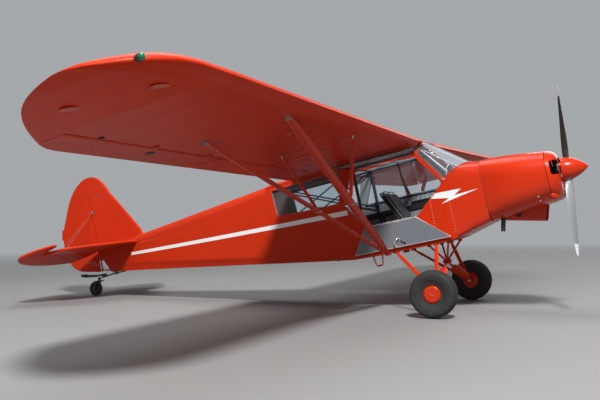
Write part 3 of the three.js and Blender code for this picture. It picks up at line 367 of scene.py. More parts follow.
# A Principled material with short ways to its nodes
class Paint:
    def __init__(self, name, colour, **values):
        self.material = bpy.data.materials.new(name)
        self.material.use_nodes = True
        self.nodes, self.links = self.material.node_tree.nodes, self.material.node_tree.links
        self.shader = self.nodes["Principled BSDF"]
        self.set(baseColor=colour, **values)
        self.material.diffuse_color = (*colour, 1)

    def feed(self, socket, value):
        if isinstance(value, Flow):
            self.links.new(value.socket, socket)
        elif isinstance(value, (tuple, list)) and len(value) == 3 and socket.type == "RGBA":
            socket.default_value = (*value, 1)
        else:
            socket.default_value = value

    # Camel case names stand for the shader's own, so coatWeight is its Coat Weight
    def set(self, **values):
        for name, value in values.items():
            label = "".join(" " + letter if letter.isupper() else letter for letter in name).title()
            self.feed(self.shader.inputs[label.replace("Ior", "IOR")], value)

    def node(self, kind, settings=None, sockets=None, out=0):
        made = self.nodes.new("ShaderNode" + kind)
        for name, value in (settings or {}).items():
            if name == "stops":
                ramp = made.color_ramp
                for i, (position, colour) in enumerate(value):
                    stop = ramp.elements[i] if i < 2 else ramp.elements.new(position)
                    stop.position, stop.color = position, (*colour, 1)
            else:
                setattr(made, name, value)
        for name, value in (sockets or {}).items():
            self.feed(made.inputs[name], value)
        return Flow(self, made.outputs[out])

    # Object coordinates in a part's own axes
    def where(self, axes=None):
        inverse = (toRow if axes is None else axes).inverted()
        raw = self.node("TexCoord", out=3)
        return self.node("Mapping", {"vector_type": "POINT"}, {
            0: raw, 1: inverse.to_translation(), 2: inverse.to_euler()})

    def split(self, vector):
        made = self.nodes.new("ShaderNodeSeparateXYZ")
        self.links.new(vector.socket, made.inputs[0])
        return [Flow(self, made.outputs[i]) for i in range(3)]

    def noise(self, scale, detail=3.0, vector=None, rough=0.5):
        return self.node("TexNoise", None, {
            "Vector": vector or self.node("TexCoord", out=3),
            "Scale": scale, "Detail": detail, "Roughness": rough})

    def mix(self, share, first, second):
        return self.node("Mix", {"data_type": "RGBA"}, {0: share, 6: first, 7: second}, out=2)

    def bump(self, height, depth, strength=1.0):
        self.set(normal=self.node("Bump", None, {"Strength": strength, "Distance": depth, "Height": height}))

    # 1 inside a convex outline, 0 outside
    def inside(self, x, z, outline):
        area = sum(outline[i - 1][0] * outline[i][1] - outline[i][0] * outline[i - 1][1]
                   for i in range(len(outline)))
        mask = None
        for i, (bx, bz) in enumerate(outline):
            ax, az = outline[i - 1]
            edge = (x - ax) * (az - bz) + (z - az) * (bx - ax)
            part = edge > 0 if area > 0 else edge < 0
            mask = part if mask is None else mask * part
        return mask


whitePaint = (0.8, 0.81, 0.8)
liningPaint = (0.27, 0.285, 0.3)
redPaint = {"fresh": (0.59, 0.032, 0.006), "deep": (0.47, 0.023, 0.004)}
sideStripe = {
    "level": (-0.0565, 0.0273, 0.0028),  # by powers of the distance aft of the leading edge
    "half": (0.0302, -0.0025), "front": -0.99, "rear": -4.27, "inner": 0.04}
lightning = {
    "blade": [(-0.036, -0.076), (0.006, -0.032), (0.343, -0.043), (0.259, -0.099), (0.198, -0.117)],
    "point": [(0.259, -0.099), (0.527, -0.084), (0.105, -0.162), (0.198, -0.117)], "inner": 0.3}


# Glossy red over fabric or metal. marks gets x, y and z in the given axes and returns the white mask,
# and lining the mask of a wall's grey inner face.
def redCoat(name, axes=None, fabric=True, marks=None, lining=None):
    paint = Paint(name, redPaint["fresh"], coatWeight=0.03 if fabric else 0.12, coatRoughness=0.12,
                  specularIorLevel=0.1 if fabric else 0.2)
    spot = paint.where(axes)
    broad = paint.noise(1.7, 2, spot)
    fine = paint.noise(26, 4, spot)
    colour = paint.mix(broad, redPaint["fresh"], redPaint["deep"])
    if marks:
        colour = paint.mix(marks(paint, *paint.split(spot)), colour, whitePaint)
    if lining:
        colour = paint.mix(lining(paint, *paint.split(spot)), colour, liningPaint)
    paint.set(baseColor=colour, roughness=(0.3 if fabric else 0.24) + (0.12 if fabric else 0.06) * fine)
    ripple = paint.noise(7 if fabric else 18, 2, spot)
    if fabric:
        weave = paint.node("TexMagic", {"turbulence_depth": 1}, {"Vector": spot, "Scale": 2400}, out=1)
        paint.bump(ripple + 0.02 * weave, 0.0022, 0.5)
    else:
        paint.bump(ripple, 0.0001, 0.3)
    return paint


def stripeMask(paint, x, y, z):
    aft = x * -1.0
    a, b, c = sideStripe["level"]
    level = a + aft * b + aft * aft * c
    wide, taper = sideStripe["half"]
    within = (abs(z - level) < wide + aft * taper) * (x < sideStripe["front"]) * (x > sideStripe["rear"])
    return within * (abs(y) > sideStripe["inner"])


def boltMask(paint, x, y, z):
    bolt = paint.inside(x, z, lightning["blade"]).most(paint.inside(x, z, lightning["point"]))
    return bolt * (abs(y) > lightning["inner"])


def sideMarks(paint, x, y, z):
    return stripeMask(paint, x, y, z).most(boltMask(paint, x, y, z))


# A mottled plain colour, with a grain of that depth
def plain(name, colour, rough, metal=0.0, grain=0.0, scale=300, spread=0.12, **values):
    paint = Paint(name, colour, metallic=metal, **values)
    mottle = paint.noise(9, 4)
    dark = tuple(c * (1 - spread) for c in colour)
    paint.set(baseColor=paint.mix(mottle, dark, colour),
              roughness=rough * 0.8 + rough * 0.4 * paint.noise(22, 3))
    if grain:
        paint.bump(paint.noise(scale, 3), grain, 0.6)
    return paint


# Mostly clear, with a pale gloss that grows at a slant
def glazing(name, tint=(0.93, 0.97, 1.0)):
    paint = Paint(name, (0.75, 0.8, 0.83), roughness=0.04, specularIorLevel=0.5)
    haze = paint.noise(6, 3)
    clear = paint.node("BsdfTransparent", None, {"Color": tint})
    gloss = paint.node("LayerWeight", None, {"Blend": 0.32}, out=0)
    share = 0.02 + 0.25 * gloss + 0.03 * haze
    pane = paint.node("MixShader", None, {0: share, 1: clear, 2: Flow(paint, paint.shader.outputs[0])})
    paint.links.new(pane.socket, paint.nodes["Material Output"].inputs[0])
    return paint


red = redCoat("red fabric")
redSide = redCoat("red fabric with marks", marks=sideMarks)
redMetal = redCoat("red metal", fabric=False)
redBoot = redCoat("red metal with bolt", fabric=False, marks=boltMask)
glass = glazing("clear glazing")
black = plain("black paint", (0.018, 0.019, 0.021), 0.38, 0.0, 0.0002, 500)
crackle = plain("black crackle", (0.022, 0.022, 0.024), 0.62, 0.0, 0.0006, 900)
darkRubberAndShade = plain("black rubber and painted shade", (0.022, 0.023, 0.025), 0.72, 0.0, 0.0003, 400)
grey = plain("grey panel paint", (0.235, 0.255, 0.285), 0.42, 0.1, 0.0002, 350, coatWeight=0.15)
steel = plain("bare steel", (0.48, 0.49, 0.5), 0.34, 0.95, 0.0001, 500)
chrome = plain("polished steel", (0.86, 0.87, 0.88), 0.26, 0.9)
darkMetalAndShade = plain("dark engine metal and painted shade", (0.075, 0.075, 0.08), 0.55, 0.7, 0.0006, 200, 0.4)
burntSteel = plain("heat stained steel", (0.11, 0.095, 0.085), 0.5, 0.85, 0.0005, 160, 0.5)
whiteTrim = plain("white trim", (0.78, 0.79, 0.78), 0.35, 0.0, 0.0001, 300)
print("materials ready")


# A Geometry Nodes tree with named inputs; grow runs it on a mesh and leaves plain geometry
class Tree:
    kinds = {float: "NodeSocketFloat", int: "NodeSocketInt", bpy.types.Material: "NodeSocketMaterial"}

    def __init__(self, name, **inputs):
        self.tree = bpy.data.node_groups.new(name, "GeometryNodeTree")
        sockets = self.tree.interface
        sockets.new_socket("Geometry", in_out="INPUT", socket_type="NodeSocketGeometry")
        sockets.new_socket("Geometry", in_out="OUTPUT", socket_type="NodeSocketGeometry")
        self.keys = {}
        for label, kind in inputs.items():
            made = sockets.new_socket(label, in_out="INPUT", socket_type=self.kinds[kind])
            self.keys[label] = made.identifier
        self.start = self.tree.nodes.new("NodeGroupInput")
        self.end = self.tree.nodes.new("NodeGroupOutput")

    def given(self, label):
        return self.start.outputs[label]

    def node(self, kind, settings=None, sockets=None, out=0):
        made = self.tree.nodes.new(kind if kind.startswith("FunctionNode") or kind.startswith("Shader")
                                   else "GeometryNode" + kind)
        for name, value in (settings or {}).items():
            setattr(made, name, value)
        for name, value in (sockets or {}).items():
            if isinstance(value, bpy.types.NodeSocket):
                self.tree.links.new(value, made.inputs[name])
            else:
                made.inputs[name].default_value = value
        return made.outputs[out]

    def finish(self, geometry, material):
        whole = self.node("RealizeInstances", None, {0: geometry})
        whole = self.node("SetMaterial", None, {"Geometry": whole, "Material": material})
        self.tree.links.new(whole, self.end.inputs[0])

    def grow(self, name, mesh, **values):
        piece = addObject(name, mesh)
        modifier = piece.modifiers.new("grow", "NODES")
        modifier.node_group = self.tree
        for label, value in values.items():
            modifier[self.keys[label]] = value
        return settle(piece)


# Small heads along lines that know which way is out
def studTree():
    tree = Tree("studs along a line", Spacing=float, Radius=float, Height=float, Finish=bpy.types.Material)
    line = tree.node("MeshToCurve", None, {0: tree.given("Geometry")})
    line = tree.node("ResampleCurve", {"mode": "LENGTH"}, {"Curve": line, "Length": tree.given("Spacing")})
    out = tree.node("InputNamedAttribute", {"data_type": "FLOAT_VECTOR"}, {"Name": "outward"})
    turn = tree.node("FunctionNodeAlignRotationToVector", {"axis": "Z"}, {"Vector": out})
    head = tree.node("MeshCone", None, {
        "Vertices": 8, "Radius Top": 0.62, "Radius Bottom": 1.0, "Depth": 1.0})
    size = tree.node("ShaderNodeCombineXYZ", None, {
        0: tree.given("Radius"), 1: tree.given("Radius"), 2: tree.given("Height")})
    heads = tree.node("InstanceOnPoints", None, {
        "Points": line, "Instance": head, "Rotation": turn, "Scale": size})
    tree.finish(heads, tree.given("Finish"))
    return tree


studs = studTree()


# lines: lists of (point, outward) pairs in the given axes
def studRows(name, lines, body, slot, paint, spacing, radius, height=0.0012, axes=None):
    axes = toRow if axes is None else axes
    mesh = bpy.data.meshes.new(name)
    points, edges, outs = [], [], []
    for line in lines:
        edges += [(len(points) + i, len(points) + i + 1) for i in range(len(line) - 1)]
        points += [axes @ Vector(p) for p, out in line]
        outs += [axes.to_3x3() @ Vector(out) for p, out in line]
    mesh.from_pydata(points, edges, [])
    outward = mesh.attributes.new("outward", "FLOAT_VECTOR", "POINT")
    outward.data.foreach_set("vector", [c for out in outs for c in out])
    piece = studs.grow(name, mesh, Spacing=spacing, Radius=radius, Height=height, Finish=paint.material)
    return place(piece, body, slot)


# Wings, in panel axes: x forward from the leading edge, y to the tip, z up from the flat underside
wing = {
    "root": 0.345, "underside": 0.511, "incidence": radians(0.73), "dihedral": radians(1.13), "chord": 1.603,
    "hinge": -1.29, "hingeHeight": 0.041, "nose": 0.04, "bayWall": -1.243,
    "bay": (0.263, 4.297), "flap": (0.27, 2.25), "aileron": (2.265, 4.29), "edge": 0.007,
    "sweep": [(0, -1.603), (4.0, -1.603), (4.1, -1.59), (4.2, -1.556), (4.29, -1.51)],
    "ribGap": 0.3045, "ribFrom": 0.05, "sag": 0.0035, "tape": 0.013,
    "tipRows": [4.39, 4.47, 4.56, 4.64, 4.72, 4.79, 4.85, 4.905, 4.95, 4.985, 5.02, 5.05, 5.07, 5.0849]}
# root of the chord share, upper surface, lower surface, as shares of the chord
aerofoil = [(sqrt(share), upper, lower) for share, upper, lower in (
    (0, 0.04, 0.04), (0.015, 0.062, 0.021), (0.05, 0.085, 0.009), (0.12, 0.106, 0.001), (0.27, 0.117, 0),
    (0.45, 0.109, 0), (0.62, 0.087, 0), (0.78, 0.056, 0), (1, 0.0044, 0))]
# span, leading edge, trailing edge, lift of the underside
wingPlan = [
    (4.15, 0, -1.603, 0), (4.31, -0.002, -1.495, 0.003), (4.47, -0.014, -1.4, 0.015),
    (4.64, -0.054, -1.283, 0.029), (4.79, -0.14, -1.155, 0.042), (4.905, -0.258, -1.02, 0.052),
    (4.985, -0.36, -0.89, 0.06), (5.05, -0.452, -0.742, 0.068), (5.085, -0.545, -0.635, 0.073)]


def wingAxes(side):
    return (toRow @ Matrix.Translation((0, side * wing["root"], wing["underside"]))
            @ Matrix.Rotation(-wing["incidence"], 4, "Y") @ Matrix.Rotation(side * wing["dihedral"], 4, "X"))


def planAt(span):
    return smoothRow(wingPlan, span) if span > wingPlan[0][0] else wingPlan[0][1:]


# How far the cloth sinks between ribs; a rib's tape stands a little proud
def slack(span):
    phase = ((span - wing["ribFrom"]) / wing["ribGap"]) % 1.0
    flat = wing["tape"] / wing["ribGap"]
    if phase < flat or phase > 1 - flat:
        return -0.1
    return max(sin(pi * (phase - flat) / (1 - 2 * flat)), 0) ** 1.3


def wingPoint(span, share, top, depth=1.0):
    front, rear, lift = planAt(span)
    chord = front - rear
    upper, lower = smoothRow(aerofoil, sqrt(share))
    cloth = min(max((share - 0.1) / 0.08, 0), 1) * min((1 - share) / 0.06, 1)
    sink = wing["sag"] * depth * cloth * slack(span)
    height = lift + (upper if top else lower) * chord
    return Vector((front - share * chord, span, height - sink if top else height + sink))


# Shares from 0 to 1, closer together at both ends
def easedShares(count):
    return [(1 - cos(pi * i / count)) / 2 for i in range(count + 1)]


# Stations along a span, with a step at each side of a rib's tape
def spanRows(start, end, perBay=8):
    rows, flat = [start, end], wing["tape"]
    rib = wing["ribFrom"]
    while rib < end + wing["ribGap"]:
        rows += [rib - flat * 1.3, rib - flat, rib + flat, rib + flat * 1.3]
        rows += [lerp(rib + flat, rib + wing["ribGap"] - flat, i / perBay) for i in range(1, perBay)]
        rib += wing["ribGap"]
    return sorted(span for span in set(rows) if start <= span <= end)


def mirrored(point, side):
    return Vector((point[0], side * point[1], point[2]))


def makeWing(label, side):
    form = Form(wingAxes(side))
    shares = easedShares(24)
    rings = []
    for span in spanRows(0, 4.31) + wing["tipRows"]:
        ring = [wingPoint(span, share, True) for share in reversed(shares)]
        ring += [wingPoint(span, share, False) for share in shares[1:]]
        if span == 0:  # the root rib stands upright
            ring = [Vector((p.x, p.z * sin(wing["dihedral"]) - 0.0006, p.z)) for p in ring]
        rings.append([mirrored(p, side) for p in ring])
    form.loft(rings)
    bay, (inner, outer) = Form(wingAxes(side)), wing["bay"]
    bay.block((0.5, outer - inner, 0.4), (wing["bayWall"] - 0.25, side * (inner + outer) / 2, 0.05))
    skin = redCoat(f"red wing fabric {label}", wingAxes(side))
    makePiece(form, f"wing_skin_{label}", skin, "red_fabric", [f"wing_{label}"], cutters=[bay])
    return skin


# A flap or aileron: round nose about its hinge, flat below, flat on top down to the edge
def makeSurface(name, label, side, span, skin):
    form = Form(wingAxes(side))
    hinge, high, r = wing["hinge"], wing["hingeHeight"], wing["nose"]
    rings = []
    for at in spanRows(*span):
        sink, rear = slack(at) * wing["sag"] * 0.7, smoothRow(wing["sweep"], at)[0]
        ring = [Vector((hinge + r * sin(a), at, high + r * cos(a))) for a in steps(13, 0, pi)]
        for share in (0.12, 0.4, 0.7, 0.94):
            ring.append(Vector((lerp(hinge, rear, share), at, 0.001 + sink * sin(pi * share))))
        ring += [Vector((rear + 0.002, at, 0)), Vector((rear, at, wing["edge"] / 2)),
                 Vector((rear + 0.002, at, wing["edge"]))]
        for share in (0.94, 0.7, 0.4, 0.12):
            level = lerp(high + r, wing["edge"], share)
            ring.append(Vector((lerp(hinge, rear, share), at, level - sink * sin(pi * share))))
        rings.append([mirrored(p, side) for p in ring])
    form.loft(rings)
    makePiece(form, f"{name}_skin_{label}", skin, "red_fabric", [f"{name}_{label}"], f"{name}_{label}")


wingSkins = {label: makeWing(label, side) for label, side in sides.items()}
for label, side in sides.items():
    makeSurface("flap", label, side, wing["flap"], wingSkins[label])
    makeSurface("aileron", label, side, wing["aileron"], wingSkins[label])
print("wings done")

# Fuselage behind the cabin: x, half width, bottom, shoulder, top
rearBody = {
    "stations": [(-4.875, 0.028, -0.036, 0.196, 0.292), (-4.2, 0.1, -0.126, 0.254, 0.34),
                 (-3.4, 0.172, -0.238, 0.322, 0.414), (-2.6, 0.245, -0.35, 0.39, 0.49),
                 (-2.0, 0.3, -0.436, 0.44, 0.545)],
    "lowCrease": (-0.353, 0.154), "midCrease": (-0.02, 0.125), "ease": 0.01, "sag": 0.0025,
    "post": -4.862, "hinges": (-0.012, 0.16),
    "opening": [(-4.69, -0.12), (-4.69, -0.068), (-4.79, 0.118), (-4.862, 0.176), (-4.9, 0.176),
                (-4.9, -0.12)]}


# A straight row between the rows of such a table
def straightRow(table, key):
    i = min(max(bisect_right([row[0] for row in table], key) - 1, 0), len(table) - 2)
    share = (key - table[i][0]) / (table[i + 1][0] - table[i][0])
    return [lerp(a, b, share) for a, b in zip(table[i][1:], table[i + 1][1:])]


def rearSection(x):
    half, bottom, shoulder, top = straightRow(rearBody["stations"], x)
    aft = rearBody["stations"][-1][0] - x
    low, middle = (min(start + rise * aft, shoulder - below) for (start, rise), below in (
        (rearBody["lowCrease"], 0.08), (rearBody["midCrease"], 0.04)))
    tuck = min(aft / 1.2, 1)
    corners = [(half * lerp(0.955, 0.8, tuck), bottom), (half, low), (half, middle), (half * 0.985, shoulder)]
    points = [(0, bottom), (corners[0][0] * 0.5, bottom)]
    for i, (y, z) in enumerate(corners):
        before = Vector(points[-1]) if i == 0 else Vector(corners[i - 1])
        after = Vector(corners[i + 1]) if i < 3 else Vector((half * 0.9, lerp(shoulder, top, 0.2)))
        here, ease = Vector((y, z)), rearBody["ease"]
        points += [tuple(here + (before - here).normalized() * ease), tuple(here * 0.998),
                   tuple(here + (after - here).normalized() * ease)]
        if i < 3:
            for share in (0.3, 0.5, 0.7):
                spot = here.lerp(after, share)
                points.append((spot.x - rearBody["sag"] * sin(pi * share) * min(half * 8, 1), spot.y))
    deck = [(sin(a) * half * 0.985, lerp(shoulder, top, cos(a))) for a in steps(9, radians(78), 0)]
    points += deck
    ring = [Vector((x, y, z)) for y, z in points]
    return ring + [Vector((p.x, -p.y, p.z)) for p in reversed(ring[1:-1])]


# The skin ends on a slanted line ahead of the sternpost, which stands free below it
def makeRearBody():
    form = Form()
    form.loft([rearSection(x) for x in steps(42, -4.875, -2.0003)])
    opening = Form()
    opening.slab(rearBody["opening"], -0.09, 0.09, upright)
    makePiece(form, "rear_skin", redSide, "red_fabric", ["rear_fuselage"], sharp=50, cutters=[opening])
    post, x = Form(), rearBody["post"]
    post.rod((x, 0, -0.03), (x, 0, 0.19), 0.011, 16)
    for z in rearBody["hinges"]:
        post.rod((x, 0, z - 0.014), (x, 0, z + 0.014), 0.0145, 16)
    for side in (1, -1):
        post.rod((-4.69, side * 0.02, -0.045), (x, 0, rearBody["hinges"][0]), 0.008, 10)
    makePiece(post, "sternpost", red, "red_fabric")


makeRearBody()

# Nose: boot cowl, cowling, nose bowl and scoop
boot = {
    # ring points from the keel up, at the cabin and at the firewall
    "rear": [(0.2, 0, -0.548), (0.2, 0.34, -0.548), (0.2, 0.365, -0.525), (0.2, 0.365, -0.2),
             (0.2, 0.365, 0.06), (0.202, 0.365, 0.108), (0.25, 0.36, 0.136), (0.335, 0.342, 0.182),
             (0.402, 0.27, 0.216), (0.445, 0.14, 0.24), (0.455, 0, 0.246)],
    "front": [(0.575, 0, -0.455), (0.575, 0.26, -0.452), (0.575, 0.33, -0.41), (0.575, 0.35, -0.2),
              (0.575, 0.35, 0), (0.575, 0.346, 0.06), (0.575, 0.335, 0.11), (0.575, 0.305, 0.16),
              (0.575, 0.235, 0.198), (0.575, 0.12, 0.222), (0.575, 0, 0.23)],
    "metal": 0.006, "wall": (0.572, 0.563), "wallLevel": -0.11, "wallShare": 0.985}
cowl = {
    # x, top, bottom, half width, squareness
    "stations": [(0.5753, 0.229, -0.454, 0.35, 4.2), (0.76, 0.224, -0.442, 0.388, 3.3),
                 (1.0, 0.202, -0.418, 0.408, 2.9), (1.25, 0.166, -0.384, 0.396, 2.7)],
    "nose": [(1.2503, 0.166, -0.384, 0.396, 2.7), (1.305, 0.152, -0.374, 0.376, 2.6),
             (1.34, 0.122, -0.348, 0.336, 2.5), (1.358, 0.084, -0.3, 0.285, 2.4),
             (1.362, 0.08, -0.204, 0.139, 2)],
    "noseRows": (1.2525, 1.262, 1.275, 1.29, 1.305, 1.32, 1.331, 1.34, 1.348, 1.3535, 1.358, 1.3605, 1.362),
    "count": 88, "metal": 0.005, "inlet": (0.062, 0.078, 0.216, -0.038), "inletCut": (1.29, 1.46),
    "scoop": {"half": 0.105, "rear": (0.64, -0.462), "front": (1.104, -0.566), "lean": 0.3, "wall": 0.006}}


def mirroredRing(half):
    return half + [Vector((p.x, -p.y, p.z)) for p in reversed(half[1:-1])]


def finerLine(points, parts=3):
    line = []
    for i in range(len(points) - 1):
        p = [Vector(points[min(max(k, 0), len(points) - 1)]) for k in range(i - 1, i + 3)]
        for t in steps(parts + 1)[:-1]:
            a, b = (p[2] - p[0]) * 0.42, (p[3] - p[1]) * 0.42
            span = (p[2] - p[1]).length
            a = a * min(1, span / max(a.length, 1e-6))
            b = b * min(1, span / max(b.length, 1e-6))
            line.append(p[1] * (2 * t ** 3 - 3 * t ** 2 + 1) + a * (t ** 3 - 2 * t ** 2 + t)
                        + p[2] * (3 * t ** 2 - 2 * t ** 3) + b * (t ** 3 - t ** 2))
    return line + [Vector(points[-1])]


def bootRing(share):
    rear, front = finerLine(boot["rear"]), finerLine(boot["front"])
    return mirroredRing([a.lerp(b, share) for a, b in zip(rear, front)])


def cowlRing(row, inward=0.0, count=None):
    x, top, bottom, half, square = row
    count = count or cowl["count"]
    level, height, wide = (top + bottom) / 2, (top - bottom) / 2 - inward, half - inward
    ring = []
    for a in turns(count):
        c, s = cos(a), sin(a)
        ring.append(Vector((x, (1 if c > 0 else -1) * wide * abs(c) ** (2 / square),
                            level + (1 if s > 0 else -1) * height * abs(s) ** (2 / square))))
    return ring


def cowlRow(table, x):
    return [x, *smoothRow(table, x)]


def makeBoot():
    form = Form()
    form.sheet([bootRing(share) for share in steps(9)], boot["metal"], (0.35, 0, -0.15), wrap=True)
    level, share = boot["wallLevel"], boot["wallShare"]
    form.loft([[Vector((x, p.y * share, level + (p.z - level) * share)) for p in bootRing(1)]
               for x in boot["wall"]])
    makePiece(form, "boot_cowl_skin", redBoot, "red_metal", ["boot_cowl"], sharp=40)


# The scoop's mouth and its end in the belly
def scoopRings(inward):
    s = cowl["scoop"]
    rings = []
    for (x, z), lean in ((s["rear"], 0), (s["front"], s["lean"])):
        half, z = s["half"] - inward, z + inward
        rings.append([Vector((x + lean * (h - s["front"][1]), y, h)) for y, h in (
            (half, -0.36), (half, z + 0.035), (half - 0.012, z + 0.012), (half - 0.035, z),
            (-half + 0.035, z), (-half + 0.012, z + 0.012), (-half, z + 0.035), (-half, -0.36))])
    return rings


def makeCowl():
    front, back = cowl["stations"][-1][0], cowl["stations"][0][0]
    form = Form()
    rows = [cowlRow(cowl["stations"], x) for x in steps(22, back, front - 0.0025)]
    form.sheet([cowlRing(row) for row in rows], cowl["metal"], (0.9, 0, -0.12), wrap=True)
    makePiece(form, "cowl_skin", redMetal, "red_metal", ["engine_cowl"], sharp=40)
    bowl = Form()
    rows = [cowlRow(cowl["nose"], x) for x in cowl["noseRows"]]
    bowl.sheet([cowlRing(row) for row in rows], cowl["metal"], (1.15, 0, -0.1), wrap=True)
    wide, high, y, z = cowl["inlet"]
    holes = []
    for side in (1, -1):
        hole, slot = Form(), Form()
        hole.loft([[Vector((x, side * y + wide * cos(a), z + high * sin(a))) for a in turns(32)]
                   for x in (1.2, 1.45)])
        start, end = cowl["inletCut"]
        corners = ((start, high), (end, high), (end, -high), (start, -high))
        outline = rounded([(x, 0, z + h) for x, h in corners], 0.03, 5, closed=True)
        slot.loft([[Vector((p.x, side * across, p.z)) for p in outline] for across in (y - 0.02, 0.45)])
        holes += [hole, slot]
    makePiece(bowl, "nose_bowl_skin", redMetal, "red_metal", ["nose_bowl"], sharp=40, cutters=holes)
    trunk = Form()
    scoopOut, scoopIn = scoopRings(0), scoopRings(cowl["scoop"]["wall"])
    trunk.loft([scoopOut[0], scoopOut[1], scoopIn[1], scoopIn[0]], ends="joined")
    room = Form()
    room.loft([cowlRing(cowlRow(cowl["stations"], x), 0.002, 48) for x in steps(8, back, front)])
    makePiece(trunk, "air_scoop", redMetal, "red_metal", sharp=40, cutters=[room])


makeBoot()
makeCowl()
print("nose done")

# Windscreen
screen = {
    "base": [(0.176, 0.362, 0.104), (0.252, 0.356, 0.134), (0.334, 0.338, 0.18), (0.4, 0.267, 0.214),
             (0.443, 0.139, 0.238), (0.453, 0, 0.244)],
    "top": [(-0.098, 0.362, 0.5), (-0.03, 0.352, 0.503), (0.014, 0.336, 0.54), (0.014, 0.25, 0.572),
            (0.014, 0.12, 0.582), (0.014, 0, 0.584)],
    "thick": 0.004}


def screenRow(share):
    half = [a.lerp(b, share) for a, b in zip(finerLine(screen["base"], 4), finerLine(screen["top"], 4))]
    return half + [Vector((p.x, -p.y, p.z)) for p in reversed(half[:-1])]


def makeScreen():
    form = Form()
    form.sheet([screenRow(share) for share in steps(9, 0.012, 1)], screen["thick"], (-0.1, 0, 0.1))
    makePiece(form, "windscreen_pane", glass, "clear_glazing", ["windscreen"], sharp=50)
    trim = Form()
    for share in (0.02, 0.992):
        trim.tube(screenRow(share), 0.006, 8)
    for j in (0, -1):
        trim.tube([screenRow(share)[j] for share in steps(9, 0.02, 0.992)], 0.007, 8)
    makePiece(trim, "windscreen_edging", redMetal, "red_metal")


makeScreen()

# Propeller and spinner, in the thrust line's own axes
thrust = {"hub": Vector((1.425, 0, -0.065)), "down": radians(4.8), "lean": radians(-10), "radius": 0.94,
          "spinner": 0.128, "behind": 0.052, "ahead": 0.215, "band": 0.815}
# radius, chord, thickness, blade angle
blade = [(0.0, 0.076, 0.07, 60), (0.13, 0.078, 0.062, 58), (0.23, 0.098, 0.03, 48), (0.42, 0.112, 0.02, 34),
         (0.65, 0.104, 0.013, 24), (0.85, 0.084, 0.009, 18), (0.925, 0.06, 0.007, 17),
         (0.94, 0.026, 0.005, 17)]
thrustAxes = (toRow @ Matrix.Translation(thrust["hub"]) @ Matrix.Rotation(thrust["down"], 4, "Y"))
bladeAxes = thrustAxes @ Matrix.Rotation(thrust["lean"], 4, "X")


def bladePaint(name, colour, rough, metal):
    paint = Paint(name, colour, metallic=metal)
    spot = paint.where(bladeAxes)
    band = abs(paint.split(spot)[2]) > thrust["band"]
    brushed = paint.noise(40, 4, spot)
    paint.set(baseColor=paint.mix(band, colour, whitePaint), roughness=rough + 0.12 * brushed,
              metallic=metal * (1 - band))
    paint.bump(brushed, 0.0002, 0.3)
    return paint


# Each blade is dark behind, and both meet at the hub
def makePropeller():
    form = Form(bladeAxes)
    front = bladePaint("blade front", (0.5, 0.51, 0.52), 0.34, 0.55)
    back = bladePaint("blade back", (0.012, 0.012, 0.013), 0.6, 0.0)
    upper = [(0.5 - u, 0.6 * sqrt(u) * (1 - u) ** 0.8 * 1.7 if u < 1 else 0.0) for u in easedShares(10)]
    lower = [(u, -0.33 * sin(pi * (0.5 - u)) ** 0.7 if abs(u) < 0.499 else 0.0)
             for u, w in reversed(upper[1:-1])]
    for sign in (1, -1):
        rings = []
        for share in steps(46):
            radius = thrust["radius"] * share
            chord, thick, angle = smoothRow(blade, radius)
            a = radians(angle)
            ring = []
            for u, w in upper + lower:
                x = u * chord * sin(a) + w * thick * cos(a)
                y = -u * chord * cos(a) + w * thick * sin(a)
                ring.append(Vector((x, sign * y, sign * radius)))
            rings.append(ring)
        count, rows, first = len(rings[0]), len(rings), len(form.faces)
        form.loft(rings)
        for k in range(first, first + (rows - 1) * count):
            j = (k - first) % count
            form.paints[k] = 0 if j < len(upper) - 1 else 1
    makePiece(form, "propeller_blades", [front, back], "blade_paint", ["propeller"], "propeller", sharp=60)


def makeSpinner():
    form, radius, behind = Form(thrustAxes), thrust["spinner"], thrust["behind"]
    profile = [(0, 0.004 - behind), (radius - 0.008, 0.004 - behind), (radius - 0.006, -behind),
               (radius, 0.002 - behind)]
    for share in steps(26):
        profile.append((radius * max(1 - share ** 1.9, 0) ** 0.86,
                        lerp(0.012 - behind, thrust["ahead"], share)))
    form.lathe(profile, (0, 0, 0), (1, 0, 0), 56)
    slots = [Form(bladeAxes), Form(bladeAxes)]
    around = [(0.052 * cos(a) * (1.15 if cos(a) > 0 else 1), 0.047 * sin(a)) for a in turns(24)]
    for sign, slot in zip((1, -1), slots):
        slot.loft([[Vector((x, y, sign * z)) for x, y in around] for z in (0.075, 0.16)])
    makePiece(form, "spinner_shell", redMetal, "red_metal", ["spinner"], "propeller", sharp=40, cutters=slots)


makePropeller()
makeSpinner()
print("propeller done")

# Struts: a streamlined tube's chord lies fore and aft
teardropRing = bothSides([(0.5 - u, 0.5 * 1.72 * (sqrt(u) * (1 - u) ** 0.9)) for u in easedShares(9)])


def onWing(side, x, span, z):
    return toRow.inverted() @ wingAxes(side) @ Vector((x, side * span, z))


# A streamlined tube that thins towards its ends
def addStrut(form, start, end, chord, thick, paint=0, rows=9):
    start, end = Vector(start), Vector(end)
    along = (end - start).normalized()
    across = (Vector((1, 0, 0)) - along * along.x).normalized()
    side = along.cross(across)
    rings = []
    for share in steps(rows):
        ease = min(1, 0.55 + share * 12, 0.6 + (1 - share) * 14)
        rings.append([start.lerp(end, share) + across * u * chord * ease + side * w * thick * ease
                      for u, w in teardropRing])
    form.loft(rings, paint)


# Each strut: x and span of its wing end, chord and thickness, and its jury strut's half width and lift
bracing = {
    "foot": (-0.613, 0.367, -0.588),
    "front": {"top": (-0.19, 3.02), "size": (0.092, 0.038), "jury": (0.013, 0.02)},
    "rear": {"top": (-0.955, 3.02), "size": (0.066, 0.03), "jury": (0.011, 0.016)},
    "juryShare": 0.46, "jurySpan": 1.6}


